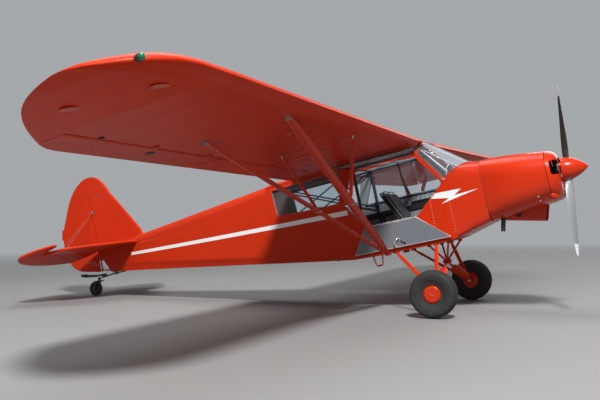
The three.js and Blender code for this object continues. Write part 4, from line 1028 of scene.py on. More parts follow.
def addJuryClamp(form, mark, along, chord, thick):
    across = (Vector((1, 0, 0)) - along * along.x).normalized()
    out = along.cross(across)
    form.loft([[mark + along * shift + across * u * (chord + 0.006) + out * w * (thick + 0.007)
                for u, w in teardropRing] for shift in (-0.011, 0.011)], 1)


def makeStruts(label, side):
    foot, form, jury = mirrored(bracing["foot"], side), Form(), Form()
    pair = [bracing["front"], bracing["rear"]]
    tops = [onWing(side, *strut["top"], 0.004) for strut in pair]
    for top, strut in zip(tops, pair):
        addStrut(form, foot, top, *strut["size"])
        along = (top - foot).normalized()
        form.rod(top - along * 0.05, top + along * 0.01, 0.015, 12, 1)
        form.block((0.05, 0.012, 0.05), top - Vector((0, 0, 0.014)), 0.002, 1)
    form.block((0.07, 0.04, 0.026), (foot.x, foot.y - side * 0.01, -0.5853), 0.004, 0)
    form.rod((foot.x, foot.y - 0.026, foot.z + 0.004), (foot.x, foot.y + 0.026, foot.z + 0.004), 0.009, 10, 1)
    makePiece(form, f"lift_strut_pair_{label}", [redMetal, steel], "red_metal", [f"lift_struts_{label}"])
    lows = []
    for top, strut in zip(tops, pair):
        mark, (radius, lift) = foot.lerp(top, bracing["juryShare"]), strut["jury"]
        low = mark + Vector((0, 0, lift))
        high = onWing(side, strut["top"][0], bracing["jurySpan"], 0.003)
        addStrut(jury, low, high, radius * 3.0, radius * 1.7)
        jury.rod(high - (high - low).normalized() * 0.03, high, 0.008, 10, 1)
        addJuryClamp(jury, mark, (top - foot).normalized(), *strut["size"])
        lows.append(low)
    addStrut(jury, lows[0], lows[1] + Vector((0, 0, 0.003)), 0.02, 0.014)
    makePiece(jury, f"jury_strut_set_{label}", [redMetal, steel], "red_metal", [f"jury_struts_{label}"])


for label, side in sides.items():
    makeStruts(label, side)
print("struts done")

# Main gear: two vees, a centre cabane and two sprung struts in fabric covers
gear = {
    "axle": Vector((-0.04, 0, -1.079)), "track": 1.826, "belly": -0.572, "fitting": 0.345, "legEnd": 0.791,
    "legs": ((-0.053, 0.044, 0.026), (-0.517, 0.04, 0.024)), "apex": Vector((-0.06, 0, -0.79)),
    "cabane": [(0.07, 0.29), (-0.15, 0.29)], "bolt": Vector((0.046, 0, 0)),
    "hub": [(0, 0), (0.03, 0), (0.03, 0.02), (0.024, 0.026), (0.024, 0.03), (0, 0.03)],
    # share along the strut, half width, half depth
    "cover": [(0.27, 0.02, 0.018), (0.3, 0.033, 0.03), (0.34, 0.048, 0.041), (0.4, 0.055, 0.045),
              (0.6, 0.058, 0.0465), (0.78, 0.06, 0.048), (0.84, 0.054, 0.044), (0.88, 0.04, 0.036),
              (0.91, 0.022, 0.022)]}


def makeGear(label, side):
    form, sprung, belly = Form(), Form(), gear["belly"]
    end = Vector((gear["axle"].x, side * gear["legEnd"], gear["axle"].z))
    for x, chord, thick in gear["legs"]:
        top = Vector((x, side * gear["fitting"], belly - 0.012))
        addStrut(form, top, end, chord, thick)
        form.block((0.054, 0.034, 0.02), (x, top.y, belly - 0.0103), 0.003)
        form.rod((x - 0.034, top.y, top.z - 0.002), (x + 0.034, top.y, top.z - 0.002), 0.006, 10, 1)
    form.lathe(gear["hub"], end + Vector((0, side * 0.005, 0)), (0, side, 0), 20)
    form.rod(end - Vector((0, side * 0.02, 0)), (end.x, side * (gear["track"] / 2 + 0.058), end.z), 0.017, 20,
             1)
    makePiece(form, f"gear_vee_{label}", [redMetal, steel], "red_metal", [f"gear_leg_{label}"])
    inner = gear["apex"] + Vector((0, side * 0.012, -0.004))
    outer = end + Vector((0, -side * 0.02, 0.02))
    sprung.tube([inner, inner.lerp(outer, 0.5), outer], 0.0145, 14, 1)
    rows = [(share, *smoothRow(gear["cover"], share)) for share in steps(26, 0.27, 0.91)]
    sprung.loft([[inner.lerp(outer, share) + Vector((wide * cos(a), 0, deep * sin(a))) for a in turns(24)]
                 for share, wide, deep in rows])
    makePiece(sprung, f"shock_cover_{label}", [red, redMetal], "red_fabric", [f"shock_strut_{label}"])


def makeCabane():
    form, apex, bolt = Form(), gear["apex"], gear["bolt"]
    for x, y in gear["cabane"]:
        for side in (1, -1):
            form.rod((x, side * y, gear["belly"] - 0.01), apex, 0.0115, 14)
            form.block((0.044, 0.034, 0.02), (x, side * y, gear["belly"] - 0.0103), 0.003)
    form.rod(apex - bolt, apex + bolt, 0.02, 20)
    form.rod(apex - bolt * 1.12, apex + bolt * 1.12, 0.008, 10, 1)
    makePiece(form, "cabane_vee", [redMetal, steel], "red_metal", ["cabane"])


for label, side in sides.items():
    makeGear(label, side)
makeCabane()

# Wheels: profiles of radius and width, from the middle of the tread's inner side out
tyreProfile = [
    (0.108, 0.0), (0.1085, 0.052), (0.094, 0.0665), (0.096, 0.0695), (0.108, 0.0715), (0.128, 0.078),
    (0.146, 0.087), (0.152, 0.0905), (0.155, 0.0905), (0.172, 0.096), (0.19, 0.0985), (0.207, 0.0965),
    (0.212, 0.0965), (0.224, 0.088), (0.232, 0.078), (0.236, 0.071), (0.2385, 0.063), (0.2345, 0.061),
    (0.2345, 0.056), (0.2405, 0.054), (0.2425, 0.042), (0.2375, 0.04), (0.2375, 0.035), (0.244, 0.033),
    (0.2452, 0.02), (0.24, 0.018), (0.24, 0.013), (0.2458, 0.011), (0.246, 0.0)]
wheelDisc = {
    "rim": [(0.0176, 0.058), (0.05, 0.06), (0.058, 0.056), (0.084, 0.058), (0.09, 0.064), (0.0925, 0.064),
            (0.104, 0.052), (0.104, 0.0)],
    "cap": [(0.0, 0.0815), (0.03, 0.081), (0.058, 0.0795), (0.07, 0.0775), (0.0725, 0.0785), (0.0745, 0.0775),
            (0.08, 0.075), (0.085, 0.072), (0.0875, 0.067), (0.088, 0.06), (0.0, 0.06)],
    "mark": (0.022, 0.0818), "bolts": (0.066, 0.0775, 0.0414)}


def rubberPaint():
    paint = Paint("tyre rubber", (0.05, 0.05, 0.052), roughness=0.8)
    spot = paint.noise(14, 5)
    paint.set(baseColor=paint.mix(spot, (0.014, 0.015, 0.016), (0.045, 0.044, 0.04)), specularIorLevel=0.3,
              roughness=0.66 + 0.22 * paint.noise(40, 3))
    paint.bump(paint.noise(260, 4), 0.0006, 0.6)
    return paint


rubber = rubberPaint()


def ringTree():
    tree = Tree("ring from a profile", Radius=float, Around=int, Finish=bpy.types.Material)
    profile = tree.node("MeshToCurve", None, {0: tree.given("Geometry")})
    circle = tree.node("CurvePrimitiveCircle", {"mode": "RADIUS"}, {
        "Resolution": tree.given("Around"), "Radius": tree.given("Radius")})
    ring = tree.node("CurveToMesh", None, {0: circle, 1: profile})
    tree.finish(ring, tree.given("Finish"))
    return tree


rings = ringTree()


# A profile of radius and width turned into a ring about y
def profileRing(name, profile, centre, radius, count, paint):
    mesh = bpy.data.meshes.new(name)
    edges = [(i, (i + 1) % len(profile)) for i in range(len(profile))]
    mesh.from_pydata([Vector((r - radius, w, 0)) for r, w in profile], edges, [])
    piece = rings.grow(name, mesh, Radius=radius, Around=count, Finish=paint.material)
    piece.data.transform(toRow @ Matrix.Translation(centre) @ Matrix.Rotation(pi / 2, 4, "X"))
    weld(piece.data)
    return piece


def makeWheel(label, side):
    centre = Vector((gear["axle"].x, side * gear["track"] / 2, gear["axle"].z))
    tyre = profileRing(f"tyre_ring_{label}", bothSides(tyreProfile), centre, 0.18, 96, rubber)
    place(tyre, f"wheel_{label}", "tyre_rubber", [f"tyre_{label}"])
    form = Form()
    form.lathe(bothSides(wheelDisc["rim"], 0), centre, (0, 1, 0), 48, joined=True)
    form.lathe(wheelDisc["cap"], centre, (0, side, 0), 48)
    reach, out = wheelDisc["mark"]
    form.rod(centre + Vector((-reach, side * out, reach)), centre + Vector((reach, side * out, -reach)),
             0.0022, 8, 1)
    makePiece(form, f"wheel_disc_{label}", [redMetal, steel], "red_metal", [f"wheel_{label}"],
              f"wheel_{label}")
    radius, out, spacing = wheelDisc["bolts"]
    ring = [(centre + Vector((radius * cos(a), side * out, radius * sin(a))), (0, side, 0))
            for a in turns(72)]
    studRows(f"hub_bolts_{label}", [ring + ring[:1]], f"wheel_{label}", "bare_steel", steel, spacing, 0.0042,
             0.003)


for label, side in sides.items():
    makeWheel(label, side)
print("gear done")

# Tail surfaces: rows across the chord, from a tube edge at the front to one at the rear. Ribs are levels.
tail = {
    "plane": 0.262, "hinge": -4.842, "rudder": -4.905, "droop": radians(14), "half": 0.017,
    "elevatorHalf": 0.015,
    "finRibs": [0.47, 0.66, 0.84], "rudderRibs": [0.18, 0.42, 0.62, 0.8, 0.94], "hornRibs": [1.1],
    "stabilizerRibs": [0.3, 0.58, 0.86, 1.1], "elevatorRibs": [0.3, 0.58, 0.86, 1.11], "tipRibs": [1.3]}


def tailRing(front, rear, half, sink, count=7):
    radius = min(half, (front - rear) / 2 * 0.98)
    ring = [(front - radius + radius * cos(a), radius * sin(a)) for a in steps(count, -pi / 2, pi / 2)]
    flats = [0.06, 0.2, 0.4, 0.6, 0.8, 0.94]
    for share in flats:
        ring.append((lerp(front - radius, rear + radius, share), radius - sink * sin(pi * share)))
    ring += [(rear + radius + radius * cos(a), radius * sin(a)) for a in steps(count, pi / 2, 3 * pi / 2)]
    for share in reversed(flats):
        ring.append((lerp(front - radius, rear + radius, share), -radius + sink * sin(pi * share)))
    return ring


def crossings(outline, level):
    found = []
    for i in range(len(outline)):
        (ax, ay), (bx, by) = outline[i - 1], outline[i]
        if (ay - level) * (by - level) <= 0 and ay != by:
            found.append(ax + (bx - ax) * (level - ay) / (by - ay))
    return max(found), min(found)


# The cloth sinks between the ribs
def tailPanel(form, outline, levels, at, half, ribs, sink=0.0016):
    rings = []
    for level in levels:
        front, rear = crossings(outline, level)
        nearest = min(abs(level - rib) for rib in ribs)
        depth = sink * min(nearest / 0.05, 1)
        rings.append([at(x, level, t) for x, t in tailRing(front, rear, half, depth)])
    form.loft(rings)


def levelsFor(low, high, ribs, count=40):
    near = [rib + shift for rib in ribs for shift in (-0.05, -0.012, 0, 0.012, 0.05)]
    even = [low + (high - low) * (1 - cos(pi * t)) / 2 for t in steps(count)]
    found = sorted(level for level in even + near if low <= level <= high)
    return [level for i, level in enumerate(found) if i == 0 or level - found[i - 1] > 0.0015]


finLine = [(-4.088, 0.346), (-4.112, 0.43), (-4.3, 0.705), (-4.395, 0.846), (-4.5085, 1.005), (-4.885, 1.008),
           (-4.885, 0.29)]
rudderLine = [(-4.905, -0.03), (-5.03, -0.008), (-5.15, 0.014), (-5.2, 0.024), (-5.245, 0.04), (-5.3, 0.069),
              (-5.345, 0.105), (-5.385, 0.155), (-5.415, 0.215), (-5.437, 0.3), (-5.452, 0.39),
              (-5.458, 0.465), (-5.458, 0.54), (-5.447, 0.6), (-5.425, 0.66), (-5.395, 0.727), (-5.362, 0.79),
              (-5.325, 0.873), (-5.285, 0.955), (-5.248, 1.023), (-5.205, 1.085), (-5.163, 1.138),
              (-5.115, 1.185), (-5.06, 1.23), (-5.0, 1.265), (-4.94, 1.29), (-4.88, 1.303), (-4.83, 1.3045),
              (-4.78, 1.3), (-4.735, 1.285), (-4.69, 1.262), (-4.65, 1.226), (-4.61, 1.18), (-4.58, 1.135),
              (-4.55, 1.085), (-4.533, 1.05), (-4.518, 1.0095), (-4.905, 1.0095)]
stabilizerLine = [(-4.12, 0), (-4.128, 0.16), (-4.163, 0.34), (-4.215, 0.52), (-4.276, 0.7), (-4.345, 0.88),
                  (-4.39, 0.97), (-4.432, 1.05), (-4.48, 1.112), (-4.52, 1.13), (-4.82, 1.13), (-4.82, 0)]
# The elevator's tip is a balance horn round the end of the stabilizer
elevatorLine = [(-4.842, 0.058), (-4.925, 0.076), (-5.0, 0.104), (-5.06, 0.136), (-5.145, 0.19),
                (-5.205, 0.262), (-5.223, 0.37), (-5.228, 0.5), (-5.228, 0.6), (-5.222, 0.72), (-5.21, 0.83),
                (-5.192, 0.945), (-5.174, 1.04), (-5.15, 1.13), (-5.122, 1.21), (-5.088, 1.288),
                (-5.052, 1.35), (-5.012, 1.398), (-4.978, 1.427), (-4.94, 1.447), (-4.9, 1.457),
                (-4.866, 1.46), (-4.828, 1.45), (-4.79, 1.436), (-4.744, 1.412), (-4.7, 1.382),
                (-4.668, 1.354), (-4.64, 1.322), (-4.614, 1.284), (-4.592, 1.245), (-4.576, 1.215),
                (-4.566, 1.19), (-4.56, 1.158), (-4.572, 1.151), (-4.842, 1.15)]
drooped = Matrix.Rotation(-tail["droop"], 4, "Y")
elevatorAxes = toRow @ Matrix.Translation((tail["hinge"], 0, tail["plane"])) @ drooped


# An outline in x and span lies flat at that height, on one side
def lying(side, height):
    return lambda x, span, t: Vector((x, side * span, height + t))


def addRibbed(form, outline, low, high, ribs, at, half, count=40):
    tailPanel(form, outline, levelsFor(low, high, ribs, count), at, half, ribs)


def makeFin():
    form = Form()
    addRibbed(form, finLine, 0.292, 1.0045, tail["finRibs"], upright, tail["half"])
    form.rod((-4.888, 0, 0.3), (-4.888, 0, 0.998), 0.0165, 14)
    makePiece(form, "fin_skin", red, "red_fabric", ["fin"])


# The rudder's horn starts above the fin
def makeRudder():
    form = Form()
    lower = [p for p in rudderLine if p[1] <= 0.96] + [(-5.2535, 1.0135), (-4.905, 1.0135)]
    upper = [p for p in rudderLine if p[1] >= 1.0] + [(-5.262, 1.0)]
    addRibbed(form, lower, -0.029, 1.0125, tail["rudderRibs"], upright, tail["half"])
    addRibbed(form, upper, 1.01, 1.3035, tail["hornRibs"], upright, tail["half"])
    form.rod((tail["rudder"], 0, -0.03), (tail["rudder"], 0, 1.016), 0.0135, 16)
    makePiece(form, "rudder_skin", red, "red_fabric", ["rudder"], "rudder")


def makeStabilizer(label, side):
    form, plane = Form(), tail["plane"]
    addRibbed(form, stabilizerLine, 0.022, 1.129, tail["stabilizerRibs"], lying(side, plane), tail["half"])
    form.rod((-4.823, side * 0.03, plane), (-4.823, side * 1.128, plane), 0.0165, 14)
    makePiece(form, f"stabilizer_skin_{label}", red, "red_fabric", [f"stabilizer_{label}"])


def makeElevators():
    form, half = Form(elevatorAxes), tail["elevatorHalf"]
    outline = [(x - tail["hinge"], span) for x, span in elevatorLine]
    for side in (1, -1):
        addRibbed(form, outline, 0.06, 1.149, tail["elevatorRibs"], lying(side, 0), half, 30)
        addRibbed(form, outline, 1.1512, 1.4595, tail["tipRibs"], lying(side, 0), half, 24)
        form.rod((0, side * 0.058, 0), (0, side * 1.4, 0), 0.0155, 16)
    form.rod((0, -0.08, 0), (0, 0.08, 0), 0.0138, 16)
    makePiece(form, "elevator_skin", red, "red_fabric", ["elevators"], "elevators")


makeFin()
makeRudder()
for label, side in sides.items():
    makeStabilizer(label, side)
makeElevators()
print("tail done")

# Cabin
cabin = {
    "half": [(-2.0, 0.3), (-1.03, 0.365), (0.2, 0.365)], "floor": -0.5517, "doorMargin": 0.008,
    "lining": {"half": 0.3615, "taper": 0.0671, "aft": 1.03},
    "door": [(-0.205, -0.235), (-0.812, -0.235), (-1.0, 0.066), (0.145, 0.066)],
    "upperDoor": [(0.15, 0.066), (-1.0, 0.066), (-0.83, 0.462), (-0.128, 0.462)],
    "rearWindow": [(-1.075, 0.092), (-1.905, 0.13), (-1.925, 0.44), (-0.985, 0.458)]}


def halfAt(x):
    return straightRow(cabin["half"], x)[0]


# Gives a point on a side wall's outer face, w metres out from it
def onWall(side):
    return lambda x, z, w: Vector((x, side * (halfAt(x) + w), z))


# A side wall is lined up to this half width, which narrows with the body behind the doors
def wallLining(paint, x, y, z):
    lining = cabin["lining"]
    return abs(y) < lining["half"] + lining["taper"] * (x + lining["aft"]).least(0)


# Where a line from a point of the airframe meets a piece that is already made
def meet(name, start, toward):
    piece = bpy.data.objects[name]
    hit, spot = piece.ray_cast(toRow @ Vector(start), toRow.to_3x3() @ Vector(toward))[:2]
    return toRow.inverted() @ spot if hit else Vector(start)


# The nodes that keep their own shape take a finer paint
def dress(paint, *nodes):
    for node in nodes:
        for slot in frame["nodes"][node].material_slots:
            slot.material = paint.material


def flatRounded(outline, radius, count=4):
    return [tuple(p) for p in rounded(outline, radius, count, closed=True)]


def dressCabin():
    sideCoat = redCoat("red cabin side", marks=sideMarks, lining=wallLining)
    dress(sideCoat, "cabin_side_left", "cabin_side_right")
    dress(red, "cabin_floor", "cabin_roof")
    dress(glass, "skylight", "rear_window_left", "rear_window_right", "front_window_left")


boards = {
    "outline": [(0.19, -0.335), (0.19, 0.335), (-1.02, 0.335), (-1.02, -0.335)], "thick": (0.0003, 0.0035),
    "mat": {"size": (0.42, 0.16, 0.006), "x": -0.02, "y": 0.2, "lift": 0.0065}}


def makeBoards():
    form, mat = Form(), boards["mat"]
    form.slab(boards["outline"], *boards["thick"], lambda x, y, w: Vector((x, y, cabin["floor"] + w)), 0.001)
    for side in (-1, 1):
        form.block(mat["size"], (mat["x"], side * mat["y"], cabin["floor"] + mat["lift"]), 0.002, 1)
    makePiece(form, "floor_boards", [darkMetalAndShade, darkRubberAndShade], "black_paint")


# Raised edges round openings: width, height and rim, and the opening's corner radius
edging = {
    "gap": 0.0005, "sunk": -0.0006, "rearWindow": (0.017, 0.0022, 0.0008, 0.035),
    "upperDoor": (0.015, 0.0022, 0.0008, 0.03), "doorway": (0.008, 0.0016, 0.0006),
    "screws": {"corner": 0.03, "margin": 0.008, "proud": 0.002, "spacing": 0.075, "radius": 0.0038}}


def makeWindowEdging(label, side):
    form, at = Form(), onWall(side)
    for opening in ("rearWindow", "upperDoor") if side > 0 else ("rearWindow",):
        wide, high, rim, corner = edging[opening]
        window = flatRounded(cabin[opening], corner)
        form.border(grown(window, wide), grown(window, edging["gap"]), edging["sunk"], high, at, 0, rim)
    makePiece(form, f"window_border_{label}", redMetal, "red_metal", sharp=30)
    screws = edging["screws"]
    outline = grown(flatRounded(cabin["rearWindow"], screws["corner"], 2), screws["margin"])
    line = [(at(*p, screws["proud"]), (0, side, 0)) for p in outline]
    studRows(f"window_screws_{label}", [line + line[:1]], "airframe", "bare_steel", steel,
             screws["spacing"], screws["radius"])


# Both doors share one opening, which stays clear
def makeDoorway():
    form, (wide, high, rim) = Form(), edging["doorway"]
    opening = cabin["upperDoor"][:1] + cabin["door"][:3] + cabin["upperDoor"][2:]
    edge = grown(opening, cabin["doorMargin"] + edging["gap"])
    form.border(grown(edge, wide), edge, edging["sunk"], high, onWall(-1), 0, rim)
    makePiece(form, "doorway_edging", redMetal, "red_metal", sharp=30)


# The left wall's window posts, sill tube and boxes, and its levers with their knobs
leftWall = {
    "posts": [((-0.452, 0.335, 0.07), (-0.492, 0.335, 0.497), 0.009, 0),
              ((-0.283, 0.335, 0.07), (-0.299, 0.335, 0.497), 0.006, 1)],
    "sill": [(0.1, 0.338, 0.056), (-0.995, 0.338, 0.056)],
    "boxes": [((0.8, 0.016, 0.066), (-0.62, 0.335, -0.085), 0.006),
              ((0.24, 0.03, 0.016), (-0.3, 0.33, -0.02), 0.004)],
    "levers": (-0.34, -0.28, -0.22),
    "knob": [(0, -0.008), (0.009, -0.006), (0.011, 0), (0.009, 0.006), (0, 0.008)]}


def makeLeftWall():
    form = Form()
    for low, high, r, paint in leftWall["posts"]:
        form.rod(low, high, r, 12, paint)
    form.tube(leftWall["sill"], 0.007, 8)
    for size, centre, rim in leftWall["boxes"]:
        form.block(size, centre, rim)
    for x in leftWall["levers"]:
        form.rod((x, 0.322, -0.02), (x + 0.03, 0.318, 0.05), 0.004, 8, 1)
        form.lathe(leftWall["knob"], (x + 0.032, 0.318, 0.056), (0, 0, 1), 14)
    makePiece(form, "side_rail", [black, whiteTrim], "black_paint")


# Welded tubes in the cabin: the joints of one side in x and z, and the tubes between them
tubesOf = {
    "side": 0.318, "inset": 0.048,
    "nodes": {"screenFoot": (0.15, 0.08), "screenHead": (-0.11, 0.466), "postFoot": (-0.84, -0.5357),
              "postMiddle": (-0.84, 0.006), "postHead": (-0.84, 0.458), "deckHead": (-1.88, 0.434),
              "deckFoot": (-1.88, 0.002)},
    "links": [("screenFoot", "screenHead", 0.011), ("screenHead", "postHead", 0.01),
              ("postHead", "deckHead", 0.01), ("postFoot", "postMiddle", 0.011),
              ("postMiddle", "postHead", 0.011), ("postMiddle", "deckHead", 0.009),
              ("postHead", "deckFoot", 0.008)],
    "across": ["screenHead", "postHead", "deckHead", "deckFoot"], "diagonals": ((1, 0.009), (-1, 0.008)),
    "collar": [(0, -0.016), (0.012, -0.016), (0.0155, -0.01), (0.0155, 0.01), (0.012, 0.016), (0, 0.016)],
    "gusset": (0.036, 0.003, 0.034), "sleeve": {"bore": 0.0118, "from": 0.02, "to": 0.4}}


def makeCabinTubes():
    form, sleeve = Form(), tubesOf["sleeve"]

    def joint(name, side):
        x, z = tubesOf["nodes"][name]
        return Vector((x, side * min(tubesOf["side"], halfAt(x) - tubesOf["inset"]), z))

    for side in (1, -1):
        for start, end, r in tubesOf["links"]:
            form.rod(joint(start, side), joint(end, side), r, 14)
        for name in tubesOf["nodes"]:
            form.lathe(tubesOf["collar"], joint(name, side), (0, 1, 0), 18)
            form.block(tubesOf["gusset"], joint(name, side), 0.001)
        low, high = joint("postMiddle", side), joint("postHead", side)
        folds = [(0.0185 + 0.0012 * cos(40 * t), lerp(sleeve["from"], sleeve["to"], t)) for t in steps(32)]
        profile = [(sleeve["bore"], sleeve["from"]), *folds, (sleeve["bore"], sleeve["to"])]
        form.lathe(profile, low, high - low, 18, 2)
    for name in tubesOf["across"]:
        form.rod(joint(name, -1), joint(name, 1), 0.01, 14)
    for side, r in tubesOf["diagonals"]:
        form.rod(joint("screenHead", side), joint("postHead", -side), r, 14, 1)
    makePiece(form, "cabin_tubes", [black, grey, darkMetalAndShade], "black_paint", ["cabin_frame"])


# The white vee behind the windscreen and the loop beside it
brace = {
    "head": (-0.112, 0.02, 0.548), "feet": ((0.226, -0.3, 0.18), (0.226, 0.3, 0.262)),
    "loop": [(0.15, -0.02, 0.1), (0.152, -0.05, 0.18), (0.17, -0.06, 0.245), (0.205, -0.03, 0.285),
             (0.222, 0.02, 0.262)]}


def makeBrace():
    form, (x, y, z) = Form(), brace["head"]
    for foot in brace["feet"]:
        form.rod((x, y if foot[1] > 0 else -y, z), foot, 0.0075, 12)
    form.tube(brace["loop"], 0.005, 8)
    makePiece(form, "windscreen_brace", whiteTrim, "bare_steel")


# y, z and radius of each dial; the ticks run clockwise by degrees
panel = {
    "dials": [(-0.2, 0.045, 0.04), (-0.1, 0.05, 0.04), (0, 0.05, 0.04), (0.1, 0.05, 0.04), (0.2, 0.045, 0.04),
              (-0.05, -0.004, 0.026), (0.05, -0.004, 0.026), (0.26, -0.008, 0.022)],
    "face": 0.2918, "ticks": range(-130, 132, 29), "knobs": (-0.3, -0.27, 0.3, 0.33),
    "knob": [(0, 0), (0.004, 0), (0.004, 0.018), (0.009, 0.02), (0.009, 0.028), (0, 0.03)],
    "box": ((0.02, 0.15, 0.035), (0.285, -0.21, -0.018)),
    "compass": [(0, 0), (0.034, 0), (0.036, 0.02), (0.028, 0.05), (0, 0.054)], "compassAt": (0.345, 0, 0.15)}


def addDial(form, y, z, r):
    def at(degrees, reach, proud):
        a = radians(degrees)
        return Vector((panel["face"] - proud, y + sin(a) * reach, z + cos(a) * reach))

    rim = [(0, 0), (r, 0), (r, 0.005), (r - 0.002, 0.007), (r - 0.006, 0.005), (r - 0.006, 0.003), (0, 0.003)]
    form.lathe(rim, at(0, 0, 0), (-1, 0, 0), 32)
    for degrees in panel["ticks"]:
        form.rod(at(degrees, r - 0.013, 0.0035), at(degrees, r - 0.008, 0.0035), 0.0006, 4, 1)
    form.rod(at(0, 0, 0.004), at(2000 * y + 20, r - 0.014, 0.004), 0.0009, 4, 1)


def makePanel():
    dress(crackle, "instrument_panel")
    form = Form()
    for row in panel["dials"]:
        addDial(form, *row)
    for y in panel["knobs"]:
        form.lathe(panel["knob"], (panel["face"], y, 0.01), (-1, 0, 0), 14, 2)
    form.block(*panel["box"], 0.003)
    form.lathe(panel["compass"], panel["compassAt"], (0, 0, 1), 24)
    makePiece(form, "instrument_dials", [black, whiteTrim, chrome], "black_paint")


# Two sticks on a torque tube, and the pedals; lift is the tube's height over the floor
sticks = {
    "tube": (0.06, -0.76), "lift": 0.014, "each": [(0.04, (0.01, 0, -0.12)), (-0.7, (-0.69, 0, -0.13))],
    "gripFrom": 0.74, "hub": [(0, -0.02), (0.022, -0.018), (0.022, 0.018), (0, 0.02)],
    "pedals": ((0.44, 0.13), (0.44, -0.13))}


def makeSticks():
    form, floor = Form(), cabin["floor"]
    level = floor + sticks["lift"]
    form.rod(*[(x, 0, level) for x in sticks["tube"]], 0.013, 16)
    for x, head in sticks["each"]:
        foot, head = Vector((x, 0, level)), Vector(head)
        form.rod(foot, head, 0.0095, 14)
        low = foot.lerp(head, sticks["gripFrom"])
        long = (head - low).length
        grip = [(0.0165 + 0.0015 * cos(share * 22), 0.003 + share * long) for share in steps(9)]
        grip = [(0, 0), (0.011, 0), *grip, (0.012, long + 0.008), (0, long + 0.009)]
        form.lathe(grip, low, head - low, 18, 1)
        form.lathe(sticks["hub"], foot, (0, 1, 0), 16)
    for x, y in sticks["pedals"]:
        form.rod((x, y, floor + 0.14), (x, y, -0.1), 0.007, 10)
        form.block((0.014, 0.07, 0.05), (x - 0.006, y, floor + 0.15), 0.003, 1)
    makePiece(form, "stick_set", [black, darkRubberAndShade], "black_paint", ["control_sticks"])


dressCabin()
makeBoards()
for label, side in sides.items():
    makeWindowEdging(label, side)
makeDoorway()
makeLeftWall()
makeCabinTubes()
makeBrace()
makePanel()
makeSticks()
print("cabin done")

# Doors, each in its hinge's own axes: y out of the leaf
doors = {
    "thick": (0.005, 0.019), "pin": 0.0068, "knuckle": 0.034, "knuckleGap": 0.038,
    "lowerHinge": (0, -0.376, -0.235), "upperHinge": (0, -0.376, 0.472),
    "leaf": [(-0.205, 0.003), (-0.812, 0.003), (-1.0, 0.297), (0.145, 0.297)], "skin": 0.003,
    "lowerPin": (-0.76, -0.26), "lowerTabs": (-0.7, -0.51, -0.32), "handle": (-0.47, 0.205, 0.285),
    "foot": [(0, 0), (0.013, 0), (0.013, 0.002), (0.008, 0.004), (0, 0.004)],
    "knob": [(0, 0), (0.012, 0), (0.012, 0.009), (0, 0.01)],
    "upperFoot": 0.072, "upperHead": -0.02, "frameWidth": 0.034, "upperPin": (-0.8, -0.16),
    "upperTabs": (-0.6, -0.36), "grip": (-0.52, -0.44, -0.385), "pane": (0.0105, 0.0135)}
lowerAxes = toRow @ Matrix.Translation(doors["lowerHinge"]) @ Matrix.Rotation(pi, 4, "X")
upperAxes = toRow @ Matrix.Translation(doors["upperHinge"]) @ Matrix.Rotation(-pi / 2, 4, "X")


def addHinge(form, start, end, paint=0):
    form.rod((start, 0, 0), (end, 0, 0), doors["pin"] * 0.75, 12, paint)
    x = start
    while x < end - 0.02:
        form.rod((x, 0, 0), (min(x + doors["knuckle"], end), 0, 0), doors["pin"], 14, paint)
        x += doors["knuckleGap"]


def makeHandle(high):
    form, (x, top, foot) = Form(lowerAxes), doors["handle"]
    front, rear, pivot = x + 0.03, x - 0.022, top + 0.055
    path = [(front, high, top), (x + 0.01, high + 0.022, top - 0.002),
            (x - 0.012, high + 0.034, lerp(top, foot, 0.3)), (x - 0.02, high + 0.034, lerp(top, foot, 0.6)),
            (rear, high + 0.02, foot), (rear, high, foot)]
    form.tube(through(path, 26), 0.0085, 14)
    for spot in ((front, high, top), (rear, high, foot)):
        form.lathe(doors["foot"], spot, (0, 1, 0), 18)
    form.tube([(x + 0.04, high + 0.006, top + 0.02), (x + 0.085, high + 0.007, pivot)], 0.005, 10, 1)
    form.lathe(doors["knob"], (x + 0.085, high, pivot), (0, 1, 0), 18, 1)
    makePiece(form, "lower_door_handle", [chrome, black], "bare_steel", body="lower_door")


# A red skin outside, a grey lining inside and a pale edge round it
def makeLowerDoor():
    coat = redCoat("red door skin", lowerAxes, False)
    inner = plain("grey door lining", (0.16, 0.175, 0.2), 0.5, 0.0, 0.0002, 350)
    form, leaf = Form(lowerAxes), doors["leaf"]
    low, high = doors["thick"]
    form.slab(leaf, low, high - doors["skin"], upright, 0.001)
    form.slab(grown(leaf, -0.002), high - doors["skin"], high, upright, 0.0012, 1)
    form.tube([Vector((x, high - 0.002, z)) for x, z in grown(leaf, -0.003)], 0.0028, 6, 2, "joined")
    addHinge(form, *doors["lowerPin"], 3)
    for x in doors["lowerTabs"]:
        form.block((0.06, 0.004, 0.026), (x, low - 0.001, 0.014), 0.001, 3)
    paints = [coat, inner, whiteTrim, steel]
    makePiece(form, "lower_door_leaf", paints, "red_metal", ["lower_door"], "lower_door")
    makeHandle(high)
    line = [(upright(x, z, high), (0, 1, 0)) for x, z in grown(leaf, -0.016)]
    studRows("lower_door_rivets", [line + line[:1]], "lower_door", "bare_steel", steel, 0.07, 0.0028, 0.0008,
             lowerAxes)


